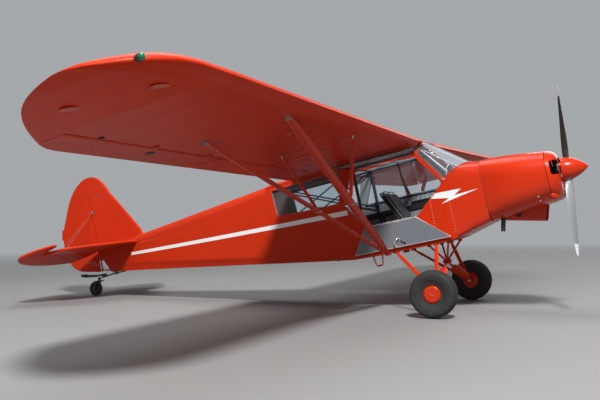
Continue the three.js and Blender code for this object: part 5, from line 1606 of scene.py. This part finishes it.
def makeUpperDoor():
    form, (low, high) = Form(upperAxes), doors["thick"]
    hinge = doors["upperHinge"][2]
    outline = [(x, max(z, doors["upperFoot"]) - hinge) for x, z in cabin["upperDoor"]]
    leaf = flatRounded(outline, 0.012, 3)
    inside = [(x, min(z, doors["upperHead"])) for x, z in outline]
    hole = flatRounded(grown(inside, -doors["frameWidth"]), 0.035, 3)
    form.border(leaf, hole, low, high, upright, 0, 0.003)
    addHinge(form, *doors["upperPin"], 1)
    for x in doors["upperTabs"]:
        form.block((0.05, 0.007, 0.018), (x, 0.0065, -0.0095), 0.001, 1)
    rear, front, z = doors["grip"]
    form.tube([(rear, high + 0.012, z), (front, high + 0.012, z)], 0.004, 10, 1)
    for x in (rear, front):
        form.rod((x, high - 0.001, z), (x, high + 0.013, z), 0.004, 10, 1)
    makePiece(form, "upper_door_frame", [black, steel], "black_paint", ["upper_door"], "upper_door", sharp=30)
    pane = Form(upperAxes)
    pane.slab(grown(hole, 0.006), *doors["pane"], upright)
    makePiece(pane, "upper_door_pane", glass, "clear_glazing", body="upper_door")


makeLowerDoor()
makeUpperDoor()
print("doors done")

# Seats: a frame, and pads that are blown up as cloth. Tubes, piping and belts are rows of x from the seat,
# share of the half width, and z.
seats = {
    "front": {"x": -0.06, "half": 0.225}, "rear": {"x": -0.9, "half": 0.24},
    "cushion": [(-0.006, -0.262), (-0.368, -0.284), (-0.368, -0.308), (-0.006, -0.291)],
    "back": [(-0.338, -0.236), (-0.498, 0.12), (-0.542, 0.114), (-0.39, -0.254)],
    "padInset": 0.012, "cap": 0.016, "voxel": 0.006, "quickVoxel": 0.012, "frames": 20,
    "tubeInset": 0.014, "backTube": [(-0.345, 1, -0.318), (-0.56, 1, 0.118), (-0.56, 0, 0.118)],
    "legs": [(-0.015, 1, cabin["floor"]), (-0.02, 1, -0.316), (-0.372, 1, -0.33),
             (-0.372, 1, cabin["floor"])],
    "piping": [[(-0.338, 1.02, -0.222), (-0.42, 1.03, -0.06), (-0.497, 1.02, 0.108), (-0.51, 0.9, 0.124),
                (-0.513, 0, 0.127)],
               [(-0.36, 1.03, -0.272), (-0.18, 1.035, -0.262), (-0.008, 1.02, -0.256), (0.004, 0.9, -0.262),
                (0.004, 0, -0.262)]],
    "belt": [(-0.3, 1.5, -0.236), (-0.352, 1.2, -0.19), (-0.42, 1, -0.04), (-0.486, 1, 0.112),
             (-0.512, 1, 0.14), (-0.552, 1, 0.128), (-0.566, 1, 0.06)],
    "belts": (-0.1, 0.1), "beltHalf": 0.021, "buckle": (0.01, 0.056, 0.034), "pan": (-0.328, -0.31)}
cloth = plain("black seat cloth", (0.02, 0.021, 0.024), 0.86, 0.0, 0.0005, 1500, sheenWeight=0.12)
piping = plain("light piping", (0.42, 0.43, 0.44), 0.7)


# Blows a pad up as cloth, and holds each corner within the cap of its place
def swell(piece, cap):
    start = [v.co.copy() for v in piece.data.vertices]
    sim = piece.modifiers.new("cloth", "CLOTH")
    sim.settings.use_pressure, sim.settings.uniform_pressure_force = True, 4
    sim.settings.effector_weights.gravity = 0
    scene = bpy.context.scene
    for number in range(1, seats["frames"] + 1):
        scene.frame_set(number)
    settle(piece)
    scene.frame_set(1)
    for vertex, origin in zip(piece.data.vertices, start):
        shift = vertex.co - origin
        if shift.length > cap:
            vertex.co = origin + shift * (cap / shift.length)


def makePad(name, outline, x, half):
    form = Form()
    section = [Vector((x + u, 0, v)) for u, v in outline]
    centre = sum(section, Vector()) / 4
    around = rounded(section, 0.03, 3, True)
    rings = []
    for share in steps(15, -1, 1):
        pull = 1 - 0.1 * abs(share) ** 6
        rings.append([centre + (p - centre) * pull + Vector((0, share * half, 0)) for p in around])
    form.loft(rings)
    piece = rawPiece(form, name, [cloth])
    mesh = piece.modifiers.new("mesh", "REMESH")
    mesh.mode, mesh.voxel_size = "VOXEL", seats["voxel"]
    settle(piece)
    swell(piece, seats["cap"])
    finer = piece.modifiers.new("finer", "SUBSURF")
    finer.levels = finer.render_levels = 1
    return settle(piece)


def makeSeat(label, x, half):
    for part in ("cushion", "back"):
        pad = makePad(f"{label}_seat_{part}", seats[part], x, half - seats["padInset"])
        place(pad, "airframe", "seat_fabric", [f"{label}_seat"] if part == "cushion" else ())
    form = Form()

    def line(rows, y):
        return [(x + u, y * share, z) for u, share, z in rows]

    for side in (1, -1):
        y = side * (half - seats["tubeInset"])
        form.tube(rounded(line(seats["backTube"], y), 0.05, 5), 0.009, 10)
        form.tube(rounded(line(seats["legs"], y), 0.03, 5), 0.01, 10)
        for edge in seats["piping"]:
            form.tube(through(line(edge, y), 30), 0.0032, 6, 1)
    for y in seats["belts"]:
        wide = seats["beltHalf"]
        rows = [[p + Vector((0, w, 0)) for w in (-wide, wide)] for p in through(line(seats["belt"], y), 36)]
        form.sheet(rows, 0.002, (x - 0.48, 0, -0.4), 1)
        form.block(seats["buckle"], (x - 0.33, y * 1.3, -0.214), 0.003, 2)
    front, rear, wide = x - 0.02, x - 0.37, half - 0.02
    form.slab([(front, -wide), (front, wide), (rear, wide), (rear, -wide)], *seats["pan"],
              lambda u, v, w: Vector((u, v, w + 0.03 * (u - x + 0.1))), 0.002)
    makePiece(form, f"{label}_seat_tubes", [black, piping, steel], "black_paint")


for label in ("front", "rear"):
    makeSeat(label, **seats[label])
print("seats done")

# Engine and exhaust
engine = {
    "fins": 17, "finFrom": -0.112, "finGap": 0.0094, "fin": (0.06, 0.15, 0.002), "finX": 1.222, "side": 0.216,
    "head": (1.18, 1.262, -0.038, 0.03), "baffle": (1.12, 1.124), "baffleInset": 0.012,
    "stub": [(0.024, 0.0), (0.0245, 0.004), (0.024, 0.008)], "stubBore": 0.0205,
    "clamp": [(0.0245, 0.13), (0.027, 0.132), (0.027, 0.142), (0.0245, 0.144)],
    "stubEnds": ((0.65, -0.15, -0.585), (0.736, -0.15, -0.23))}


def makeEngine():
    dress(darkMetalAndShade, "engine_block")
    form = Form()
    start, end, level, radius = engine["head"]
    for side in (1, -1):
        y = side * engine["side"]
        for i in range(engine["fins"]):
            form.block(engine["fin"], (engine["finX"], y, engine["finFrom"] + engine["finGap"] * i), 0.0006)
        form.rod((start, y, level), (end, y, level), radius, 20)
        form.rod((1.2, y, 0.052), (1.27, side * 0.15, 0.02), 0.006, 8, 1)
    ring = cowlRing(cowlRow(cowl["stations"], engine["baffle"][0]), engine["baffleInset"], 40)
    form.loft([[Vector((x, p.y * 0.97, p.z * 0.97)) for p in ring] for x in engine["baffle"]])
    makePiece(form, "cylinder_fins", [darkMetalAndShade, black], "bare_steel")
    stub = Form()
    low, high = (Vector(end) for end in engine["stubEnds"])
    long, bore = (high - low).length, engine["stubBore"]
    profile = [*engine["stub"], (0.024, long), (bore, long), (bore, 0.002)]
    stub.lathe(profile, low, high - low, 28, joined=True)
    stub.lathe(engine["clamp"], low, high - low, 28, joined=True)
    makePiece(stub, "exhaust_stub", burntSteel, "bare_steel", ["exhaust_stack"])


# The cowling's trim; outlines and rows are in x and z
noseTrim = {
    "seam": (0.5753, 0.5795), "seamProud": 0.0012, "rings": (0.6, 1.232), "sideLine": (0.62, 1.22, -0.1),
    "skin": 0.3665,
    "rivets": [((-0.013, -0.096), (-0.022, -0.45)), ((0.195, -0.05), (0.194, -0.49))],
    "blister": {"radius": 0.04, "long": 0.125, "at": (1.205, -0.3, -0.29), "axis": (0.1, 0.018, -0.068)},
    "latches": ((1.117, -0.305), (1.119, -0.35)), "latch": [(0, 0), (0.009, 0), (0.008, 0.003), (0, 0.004)],
    "outlet": [(0.795, -0.42), (0.878, -0.42), (0.864, -0.472), (0.815, -0.462)],
    "outletAt": (-0.1045, -0.1066),
    "filter": ((0.98, -0.52), (0.985, -0.521)), "filterHalf": 0.095, "filterTop": -0.43}


def ringOn(table, x, proud=0.0008, count=96):
    points = cowlRing(cowlRow(table, x), -proud, count)
    level = (table[0][1] + table[0][2]) / 2
    return [(p, (0, p.y, p.z - level)) for p in points + points[:1]]


def makeCowlTrim():
    # The thin dark band round the seam between boot cowl and cowling is painted shade of the gap there
    seam, stations = Form(), cowl["stations"]
    bands = [cowlRing(cowlRow(stations, x), -noseTrim["seamProud"]) for x in noseTrim["seam"]]
    seam.sheet(bands, 0.0016, (0.9, 0, -0.12), 0, True)
    makePiece(seam, "cowl_seam_shade", darkRubberAndShade, "black_paint")
    lines = [ringOn(stations, x) for x in noseTrim["rings"]]
    start, end, level = noseTrim["sideLine"]
    for side in (1, -1):
        lines.append([(Vector((x, side * (cowlRow(stations, x)[3] + 0.0008), level)), (0, side, 0))
                      for x in steps(12, start, end)])
    studRows("cowl_fasteners", lines, "airframe", "red_metal", redMetal, 0.085, 0.0045, 0.0012)
    rows = [[((x, side * noseTrim["skin"], z), (0, side, 0)) for x, z in ends]
            for side in (1, -1) for ends in noseTrim["rivets"]]
    studRows("skin_rivets", rows, "airframe", "bare_steel", whiteTrim, 0.03, 0.0034, 0.0014)


def makeNoseFittings():
    form, shape = Form(), noseTrim["blister"]
    swelling = [(shape["radius"] * sin(pi * t) ** 0.55 * (1 - 0.25 * t), shape["long"] * t)
                for t in steps(13)]
    form.lathe(swelling, shape["at"], shape["axis"], 24)
    makePiece(form, "cowl_blister", redMetal, "red_metal")
    latches = Form()
    for x, z in noseTrim["latches"]:
        latches.lathe(noseTrim["latch"], meet("cowl_skin", (x, -0.6, z), (0, 1, 0)), (0, -1, -0.3), 16)
    makePiece(latches, "cowl_latches", chrome, "bare_steel")
    # A thin dark plate on the scoop's side is painted shade of the outlet opening
    outlet = Form()
    outlet.slab(noseTrim["outlet"], *noseTrim["outletAt"], upright)
    makePiece(outlet, "scoop_outlet_shade", darkRubberAndShade, "black_paint")
    mesh, half, top = Form(), noseTrim["filterHalf"], noseTrim["filterTop"]
    mesh.loft([[Vector((x, y, z)) for y, z in ((half, top), (half, low), (-half, low), (-half, top))]
               for x, low in noseTrim["filter"]])
    makePiece(mesh, "scoop_filter", darkMetalAndShade, "black_paint")


makeEngine()
makeCowlTrim()
makeNoseFittings()
print("engine done")

# Wing fittings: lamps, caps, root strips, hinge plates and inspection covers, placed by x and span
fittings = {
    "lamp": (-0.2, 4.86, 0.088), "lampLong": 0.042, "lampWide": 0.034, "bracket": (0.05, 0.02, 0.024),
    "left": (0.5, 0.01, 0.01), "right": (0.01, 0.22, 0.1),
    "cap": (-0.46, 0.62), "capHandle": (0.056, 0.008, 0.01),
    "capProfile": [(0, -0.004), (0.05, -0.004), (0.052, 0.002), (0.04, 0.004), (0.036, 0.016), (0.03, 0.02),
                   (0, 0.021)],
    "plates": (0.5, 1.25, 2.05, 2.5, 3.3, 3.97), "plate": (0.042, 0.03, 0.01), "plateAt": (-1.22, -0.0038),
    "pinAt": (-1.236, -0.006), "covers": [(-0.33, 4.5), (-0.92, 4.62), (-0.45, 2.4), (-0.9, 1.2)],
    "cover": [(0, 0.003), (0.064, 0.003), (0.067, -0.0005), (0.062, -0.0036), (0.055, -0.0016), (0, -0.0016)],
    "aileronHoleShade": (-1.38, 3.165),
    "aileronDisc": [(0, 0.004), (0.04, 0.004), (0.042, -0.0015), (0.036, -0.0022), (0, -0.0022)],
    "strip": ((-0.02, 0.0012), (-0.008, 0.003), (0.006, 0.0032), (0.02, 0.0014))}


# The height of the wing's lower face at a place
def wingLevel(x, span):
    front, rear = planAt(span)[:2]
    return wingPoint(span, (front - x) / (front - rear), False, 0).z


def makeLamp(label, side):
    axes = wingAxes(side)
    lamp, lens = Form(axes), Form(axes)
    x, span, z = fittings["lamp"]
    long, wide = fittings["lampLong"], fittings["lampWide"]
    body = [(wide * 0.72 * sin(pi * 0.5 * share) ** 0.6, lerp(-long, long * 0.35, share))
            for share in steps(11, 0.08, 1)]
    lamp.lathe([(0, -long), *body, (0, long * 0.35)], (x, side * span, z), (1, 0, 0), 24)
    lamp.block(fittings["bracket"], (x - 0.012, side * (span - 0.016), z - 0.006), 0.004)
    makePiece(lamp, f"tip_lamp_{label}", darkMetalAndShade, "black_paint")
    dome = [(wide * 0.7 * cos(pi * 0.5 * share) ** 0.7, lerp(long * 0.35, long * 0.98, sin(pi * 0.5 * share)))
            for share in steps(9, 0, 1)]
    lens.lathe([(0, long * 0.34), *dome, (0, long)], (x, side * span, z), (1, 0, 0), 24)
    shade = Paint(f"{label} lamp lens", fittings[label], transmissionWeight=0.25, coatWeight=0.6)
    shade.set(roughness=0.06 + 0.05 * shade.noise(30, 2))
    makePiece(lens, f"tip_lens_{label}", shade, "clear_glazing")


def makeWingFittings(label, side):
    axes = wingAxes(side)
    form = Form(axes)
    x, span = fittings["cap"]
    top = wingPoint(span, -x / wing["chord"], True, 0).z
    form.lathe(fittings["capProfile"], (x, side * span, top), (0.05, 0, 1), 32, 1)
    form.block(fittings["capHandle"], (x, side * span, top + 0.023), 0.003, 1)
    (x, z), (pinX, pinZ) = fittings["plateAt"], fittings["pinAt"]
    # The outermost hinge plate is dark: painted shade of the hinge slot there
    for span in fittings["plates"]:
        form.block(fittings["plate"], (x, side * span, z), 0.002, 2 if span > 3.9 else 0)
        form.rod((pinX, side * (span - 0.018), pinZ), (pinX, side * (span + 0.018), pinZ), 0.004, 8, 1)
    for x, span in fittings["covers"]:
        form.lathe(fittings["cover"], (x, side * span, wingLevel(x, span)), (0, 0, 1), 32)
    makePiece(form, f"wing_fittings_{label}", [redMetal, steel, darkMetalAndShade], "red_metal")
    # A dark disc on each aileron is painted shade of its inspection hole
    cover = Form(axes)
    x, span = fittings["aileronHoleShade"]
    cover.lathe(fittings["aileronDisc"], (x, side * span, wingLevel(x, span)), (0, 0, 1), 28)
    makePiece(cover, f"aileron_cover_{label}", darkMetalAndShade, "black_paint", body=f"aileron_{label}")
    strip = Form(axes)
    middles = [wingPoint(0.0, share, True, 0) for share in steps(24, 0.012, 0.985)]
    rows = [[Vector((p.x, side * shift, p.z + lift)) for shift, lift in fittings["strip"]] for p in middles]
    strip.sheet(rows, 0.0012, (-0.8, side * 0.1, -3))
    makePiece(strip, f"root_strip_{label}", redMetal, "red_metal")


for label, side in sides.items():
    makeLamp(label, side)
    makeWingFittings(label, side)
print("wing fittings done")

# Small trim on the tail, and the stay wires; outer ends are x and span on the stabilizer
tailTrim = {
    "tab": [(-5.395, 0.672), (-5.452, 0.672), (-5.484, 0.535), (-5.43, 0.535)], "tabHalf": 0.0022,
    "slot": ((0.276, 0), (0.296, 0.003), (0.316, 0.006), (0.336, 0.009)), "slotX": (-4.126, -4.108),
    "proud": 0.0012}
stays = {
    "upper": {"root": (-4.856, 0.0183, 0.812), "toward": 1, "lug": (0.046, 0.012, 0.026),
              "lugAt": (0.0235, 0)},
    "lower": {"root": (-4.64, 0.052, -0.066), "toward": -1, "lug": (0.046, 0.024, 0.01),
              "lugAt": (0.046, -0.004)},
    "outer": [(-4.56, 1.0), (-4.79, 0.86)], "wire": 0.0019, "fork": 0.0036, "lift": 0.0175,
    "fitting": (0.022, 0.01, 0.006)}


def makeTailTrim():
    tab, half = Form(), tailTrim["tabHalf"]
    tab.slab(tailTrim["tab"], -half, half, upright, 0.0008)
    makePiece(tab, "rudder_tab", redMetal, "red_metal", body="rudder")
    for label, side in sides.items():
        # A thin dark sheet on each side of the skin is painted shade of the trim slot
        slot, out = Form(), Vector((0, side * tailTrim["proud"], 0))
        rows = [[meet("rear_skin", (x + lean, side * 0.4, z), (0, -side, 0)) + out for x in tailTrim["slotX"]]
                for z, lean in tailTrim["slot"]]
        slot.sheet(rows, 0.001, (-4.1, 0, 0.1))
        makePiece(slot, f"trim_slot_shade_{label}", darkRubberAndShade, "black_paint")


def makeStays(label, side):
    for where in ("upper", "lower"):
        form, stay = Form(), stays[where]
        x, y, z = stay["root"]
        root = Vector((x, side * y, z))
        for outerX, span in stays["outer"]:
            end = Vector((outerX, side * span, tail["plane"] + stay["toward"] * stays["lift"]))
            along = (end - root).normalized()
            form.rod(root, end, stays["wire"], 8)
            form.rod(end - along * 0.045, end - along * 0.004, stays["fork"], 10)
            form.rod(root + along * 0.015, root + along * 0.055, stays["fork"], 10)
            form.block(stays["fitting"], end + Vector((0, 0, stay["toward"] * 0.002)), 0.001)
        out, lift = stay["lugAt"]
        form.block(stay["lug"], (x, side * out, z + lift), 0.002)
        makePiece(form, f"{where}_stay_wires_{label}", steel, "bare_steel", [f"{where}_stays_{label}"])


makeTailTrim()
for label, side in sides.items():
    makeStays(label, side)

# Tail spring, steered fork, tailwheel, tow release and step
steerAxes = toRow @ Matrix.Translation((-4.95, 0, -0.15)) @ Matrix.Rotation(attitude["noseUp"], 4, "Y")
tailSpring = {
    "line": [(-4.48, -0.087), (-4.6, -0.085), (-4.76, -0.092), (-4.88, -0.108), (-4.96, -0.12)],
    "leaves": ((1.0, 0.0), (0.86, -0.005), (0.66, -0.0098)),
    "section": ((0.019, 0), (-0.019, 0), (-0.02, -0.0022), (-0.019, -0.0044), (0.019, -0.0044),
                (0.02, -0.0022)),
    "bolts": (-4.665, -4.635), "bolt": [(0.024, -0.052), (0.024, -0.104), (-0.024, -0.104), (-0.024, -0.052)],
    "clamps": [((0.056, 0.04, 0.03), (-4.65, 0, -0.066), 0.003),
               ((0.06, 0.05, 0.006), (-4.65, 0, -0.105), 0.002)],
    "post": [(0, 0.0064), (0.02, 0.0064), (0.02, 0.012), (0.0175, 0.014), (0.0175, 0.05), (0.01, 0.0555),
             (0, 0.056)],
    "hook": [(-5.205, 0, -0.016), (-5.232, 0, -0.004), (-5.246, 0, -0.016), (-5.24, 0, -0.034)],
    "pins": ((-5.1, -0.048, 0.02, 0.005), (-4.93, -0.072, 0.019, 0.006))}
tailWheel = {
    "axle": Vector((-5.03, 0, -0.243)), "inFork": Vector((-0.0604, 0, -0.1068)), "ring": 0.07,
    # x from and to, half width, corner radius, z from and to, rim
    "plates": ((-0.02, 0.024, 0.051, 0.01, -0.01, 0.002, 0.002),
               (-0.018, 0.006, 0.104, 0.008, -0.002, 0.006, 0.0015)),
    "arm": 0.044, "tyre": [(0.05, 0.0), (0.05, 0.02), (0.056, 0.024), (0.07, 0.0285), (0.08, 0.0295),
                           (0.09, 0.026), (0.0945, 0.021), (0.0945, 0.017), (0.098, 0.015), (0.0985, 0.006),
                           (0.0955, 0.004), (0.0955, 0.0)],
    "rim": [(0.009, 0.0238), (0.02, 0.0238), (0.022, 0.018), (0.04, 0.016), (0.044, 0.021), (0.0505, 0.022),
            (0.0495, 0.0)]}
step = {
    "loop": [(-0.7, -0.3, -0.573), (-0.716, -0.3, -0.69), (-0.792, -0.3, -0.69), (-0.812, -0.3, -0.573)],
    "tread": ((-0.73, -0.3, -0.69), (-0.778, -0.3, -0.69)), "feet": (-0.7, -0.812),
    "foot": [(0, 0), (0.018, 0), (0.018, 0.003), (0, 0.003)]}


def makeTailSpring():
    form = Form()
    line = through([Vector((x, 0, z)) for x, z in tailSpring["line"]], 24)
    for reach, top in tailSpring["leaves"]:
        leaf = line[:max(int(len(line) * reach), 4)]
        form.loft([[p + Vector((0, y, top + h)) for y, h in tailSpring["section"]] for p in leaf])
    for x in tailSpring["bolts"]:
        form.tube(rounded([(x, y, z) for y, z in tailSpring["bolt"]], 0.008, 3), 0.0045, 8, 1)
    for size, centre, rim in tailSpring["clamps"]:
        form.block(size, centre, rim)
    form.place = steerAxes
    form.lathe(tailSpring["post"], (0, 0, 0), (0, 0, 1), 24)
    makePiece(form, "tail_spring_leaves", [black, steel], "black_paint", ["tail_spring"])
    dress(black, "tow_release")
    hook = Form()
    hook.tube(through(tailSpring["hook"], 12), 0.005, 8)
    for x, z, half, r in tailSpring["pins"]:
        hook.rod((x, -half, z), (x, half, z), r, 8)
    makePiece(hook, "tow_hook", steel, "bare_steel")


def makeTailWheel():
    form, axle, arm = Form(steerAxes), tailWheel["inFork"], tailWheel["arm"]
    for rear, front, half, corner, low, high, rim in tailWheel["plates"]:
        outline = flatRounded([(rear, -half), (front, -half), (front, half), (rear, half)], corner, 3)
        form.slab(outline, low, high, lambda x, y, z: Vector((x, y, z)), rim)
    for side in (1, -1):
        def across(start, end):
            return [(axle.x, side * y, axle.z) for y in (start, end)]

        addStrut(form, (axle.x * 0.2, side * arm, -0.006), (axle.x, side * arm, axle.z), 0.026, 0.011)
        form.rod(*across(0.037, 0.0515), 0.014, 20)
        form.rod(*across(0.0245, 0.055), 0.0075, 14, 1)
        form.rod((-0.006, side * 0.096, -0.006), (-0.006, side * 0.096, 0.012), 0.004, 10, 1)
    makePiece(form, "tailwheel_yoke", [black, steel], "black_paint", ["tailwheel_fork"], "tail_steering")
    tyre = profileRing("tail_tyre", bothSides(tailWheel["tyre"]), tailWheel["axle"], tailWheel["ring"], 64,
                       rubber)
    place(tyre, "tail_wheel", "tyre_rubber", ["tail_wheel"])
    hub = Form()
    hub.lathe(bothSides(tailWheel["rim"], 0), tailWheel["axle"], (0, 1, 0), 40, joined=True)
    makePiece(hub, "tail_hub", black, "black_paint", body="tail_wheel")


def makeStep():
    form = Form()
    form.tube(rounded(step["loop"], 0.022, 6), 0.0078, 14)
    form.rod(*step["tread"], 0.0095, 14, 1)
    for x in step["feet"]:
        form.lathe(step["foot"], (x, -0.3, -0.5755), (0, 0, 1), 18)
    makePiece(form, "step_loop", [redMetal, darkRubberAndShade], "red_metal", ["boarding_step"])


makeTailSpring()
makeTailWheel()
makeStep()
print("tail gear done")

# Floor, light and camera
studio = {
    "floor": 22, "corners": 64, "floorLevel": -0.0005, "floorColour": (0.235, 0.235, 0.23), "fade": (7, 19),
    "sky": (0.8, 0.84, 0.88), "skyLight": 0.2, "backdrop": (0.38, 0.395, 0.41), "sensor": 36,
    "eye": Vector((4.159, -8.738, 1.061)), "lens": 46.65, "yaw": radians(24.448), "rise": radians(1.222),
    "roll": radians(-0.893)}
# name: place, aim, size, watts
lamps = {
    "key light": ((7, -11, 15), (0, 0, 1), 3, 5200), "fill light": ((-10, -9, 6), (-1, 0, 1), 8, 200),
    "top light": ((-2, 2, 12), (0, 0, 1), 9, 700), "back light": ((4, 12, 7), (0, 0, 1.2), 7, 300)}


# The floor fades out between two distances from the origin
def makeFloor():
    mesh = bpy.data.meshes.new("studio_floor")
    radius, corners = studio["floor"], studio["corners"]
    rim = [(radius * cos(a), radius * sin(a), studio["floorLevel"]) for a in turns(corners)]
    mesh.from_pydata(rim, [], [tuple(range(corners))])
    floor = addObject("studio_floor", mesh)
    paint = Paint("studio floor", studio["floorColour"], roughness=0.75)
    x, y = paint.split(paint.node("TexCoord", out=3))[:2]
    near, far = studio["fade"]
    fading = (((x * x + y * y) ** 0.5 - near) / (far - near)).most(0).least(1)
    paint.set(roughness=0.7 + 0.1 * paint.noise(3, 2), alpha=1 - fading)
    mesh.materials.append(paint.material)


# A soft sky lights the part, and a plain grey stands behind it
def makeSky():
    world = bpy.data.worlds.new("studio")
    world.use_nodes = True
    sky = world.node_tree.nodes["Background"]
    sky.inputs[0].default_value = (*studio["sky"], 1)
    sky.inputs[1].default_value = studio["skyLight"]
    nodes, links = world.node_tree.nodes, world.node_tree.links
    behind, seen, either = (nodes.new("ShaderNode" + kind)
                            for kind in ("Background", "LightPath", "MixShader"))
    behind.inputs[0].default_value = (*studio["backdrop"], 1)
    links.new(seen.outputs[0], either.inputs[0])
    links.new(sky.outputs[0], either.inputs[1])
    links.new(behind.outputs[0], either.inputs[2])
    links.new(either.outputs[0], nodes["World Output"].inputs[0])
    bpy.context.scene.world = world


def makeLamps():
    for name, (spot, aim, size, watts) in lamps.items():
        lamp = bpy.data.lights.new(name, "AREA")
        lamp.shape, lamp.size, lamp.energy = "DISK", size, watts
        holder = addObject(name, lamp)
        holder.location = spot
        holder.rotation_euler = (Vector(aim) - Vector(spot)).to_track_quat("-Z", "Y").to_euler()
        holder.visible_camera = False


def makeCamera():
    yaw, rise, roll = studio["yaw"], studio["rise"], studio["roll"]
    ahead = Vector((-sin(yaw) * cos(rise), cos(yaw) * cos(rise), sin(rise)))
    level = Vector((cos(yaw), sin(yaw), 0))
    upward = level.cross(ahead)
    right = level * cos(roll) + upward * sin(roll)
    up = upward * cos(roll) - level * sin(roll)
    lens = bpy.data.cameras.new("camera")
    lens.lens, lens.sensor_width = studio["lens"], studio["sensor"]
    camera = addObject("camera", lens)
    turned = Matrix((right, up, -ahead)).transposed().to_4x4()
    camera.matrix_world = Matrix.Translation(studio["eye"]) @ turned
    bpy.context.scene.camera = camera


makeFloor()
makeSky()
makeLamps()
makeCamera()
bpy.context.scene.view_settings.view_transform = "Standard"
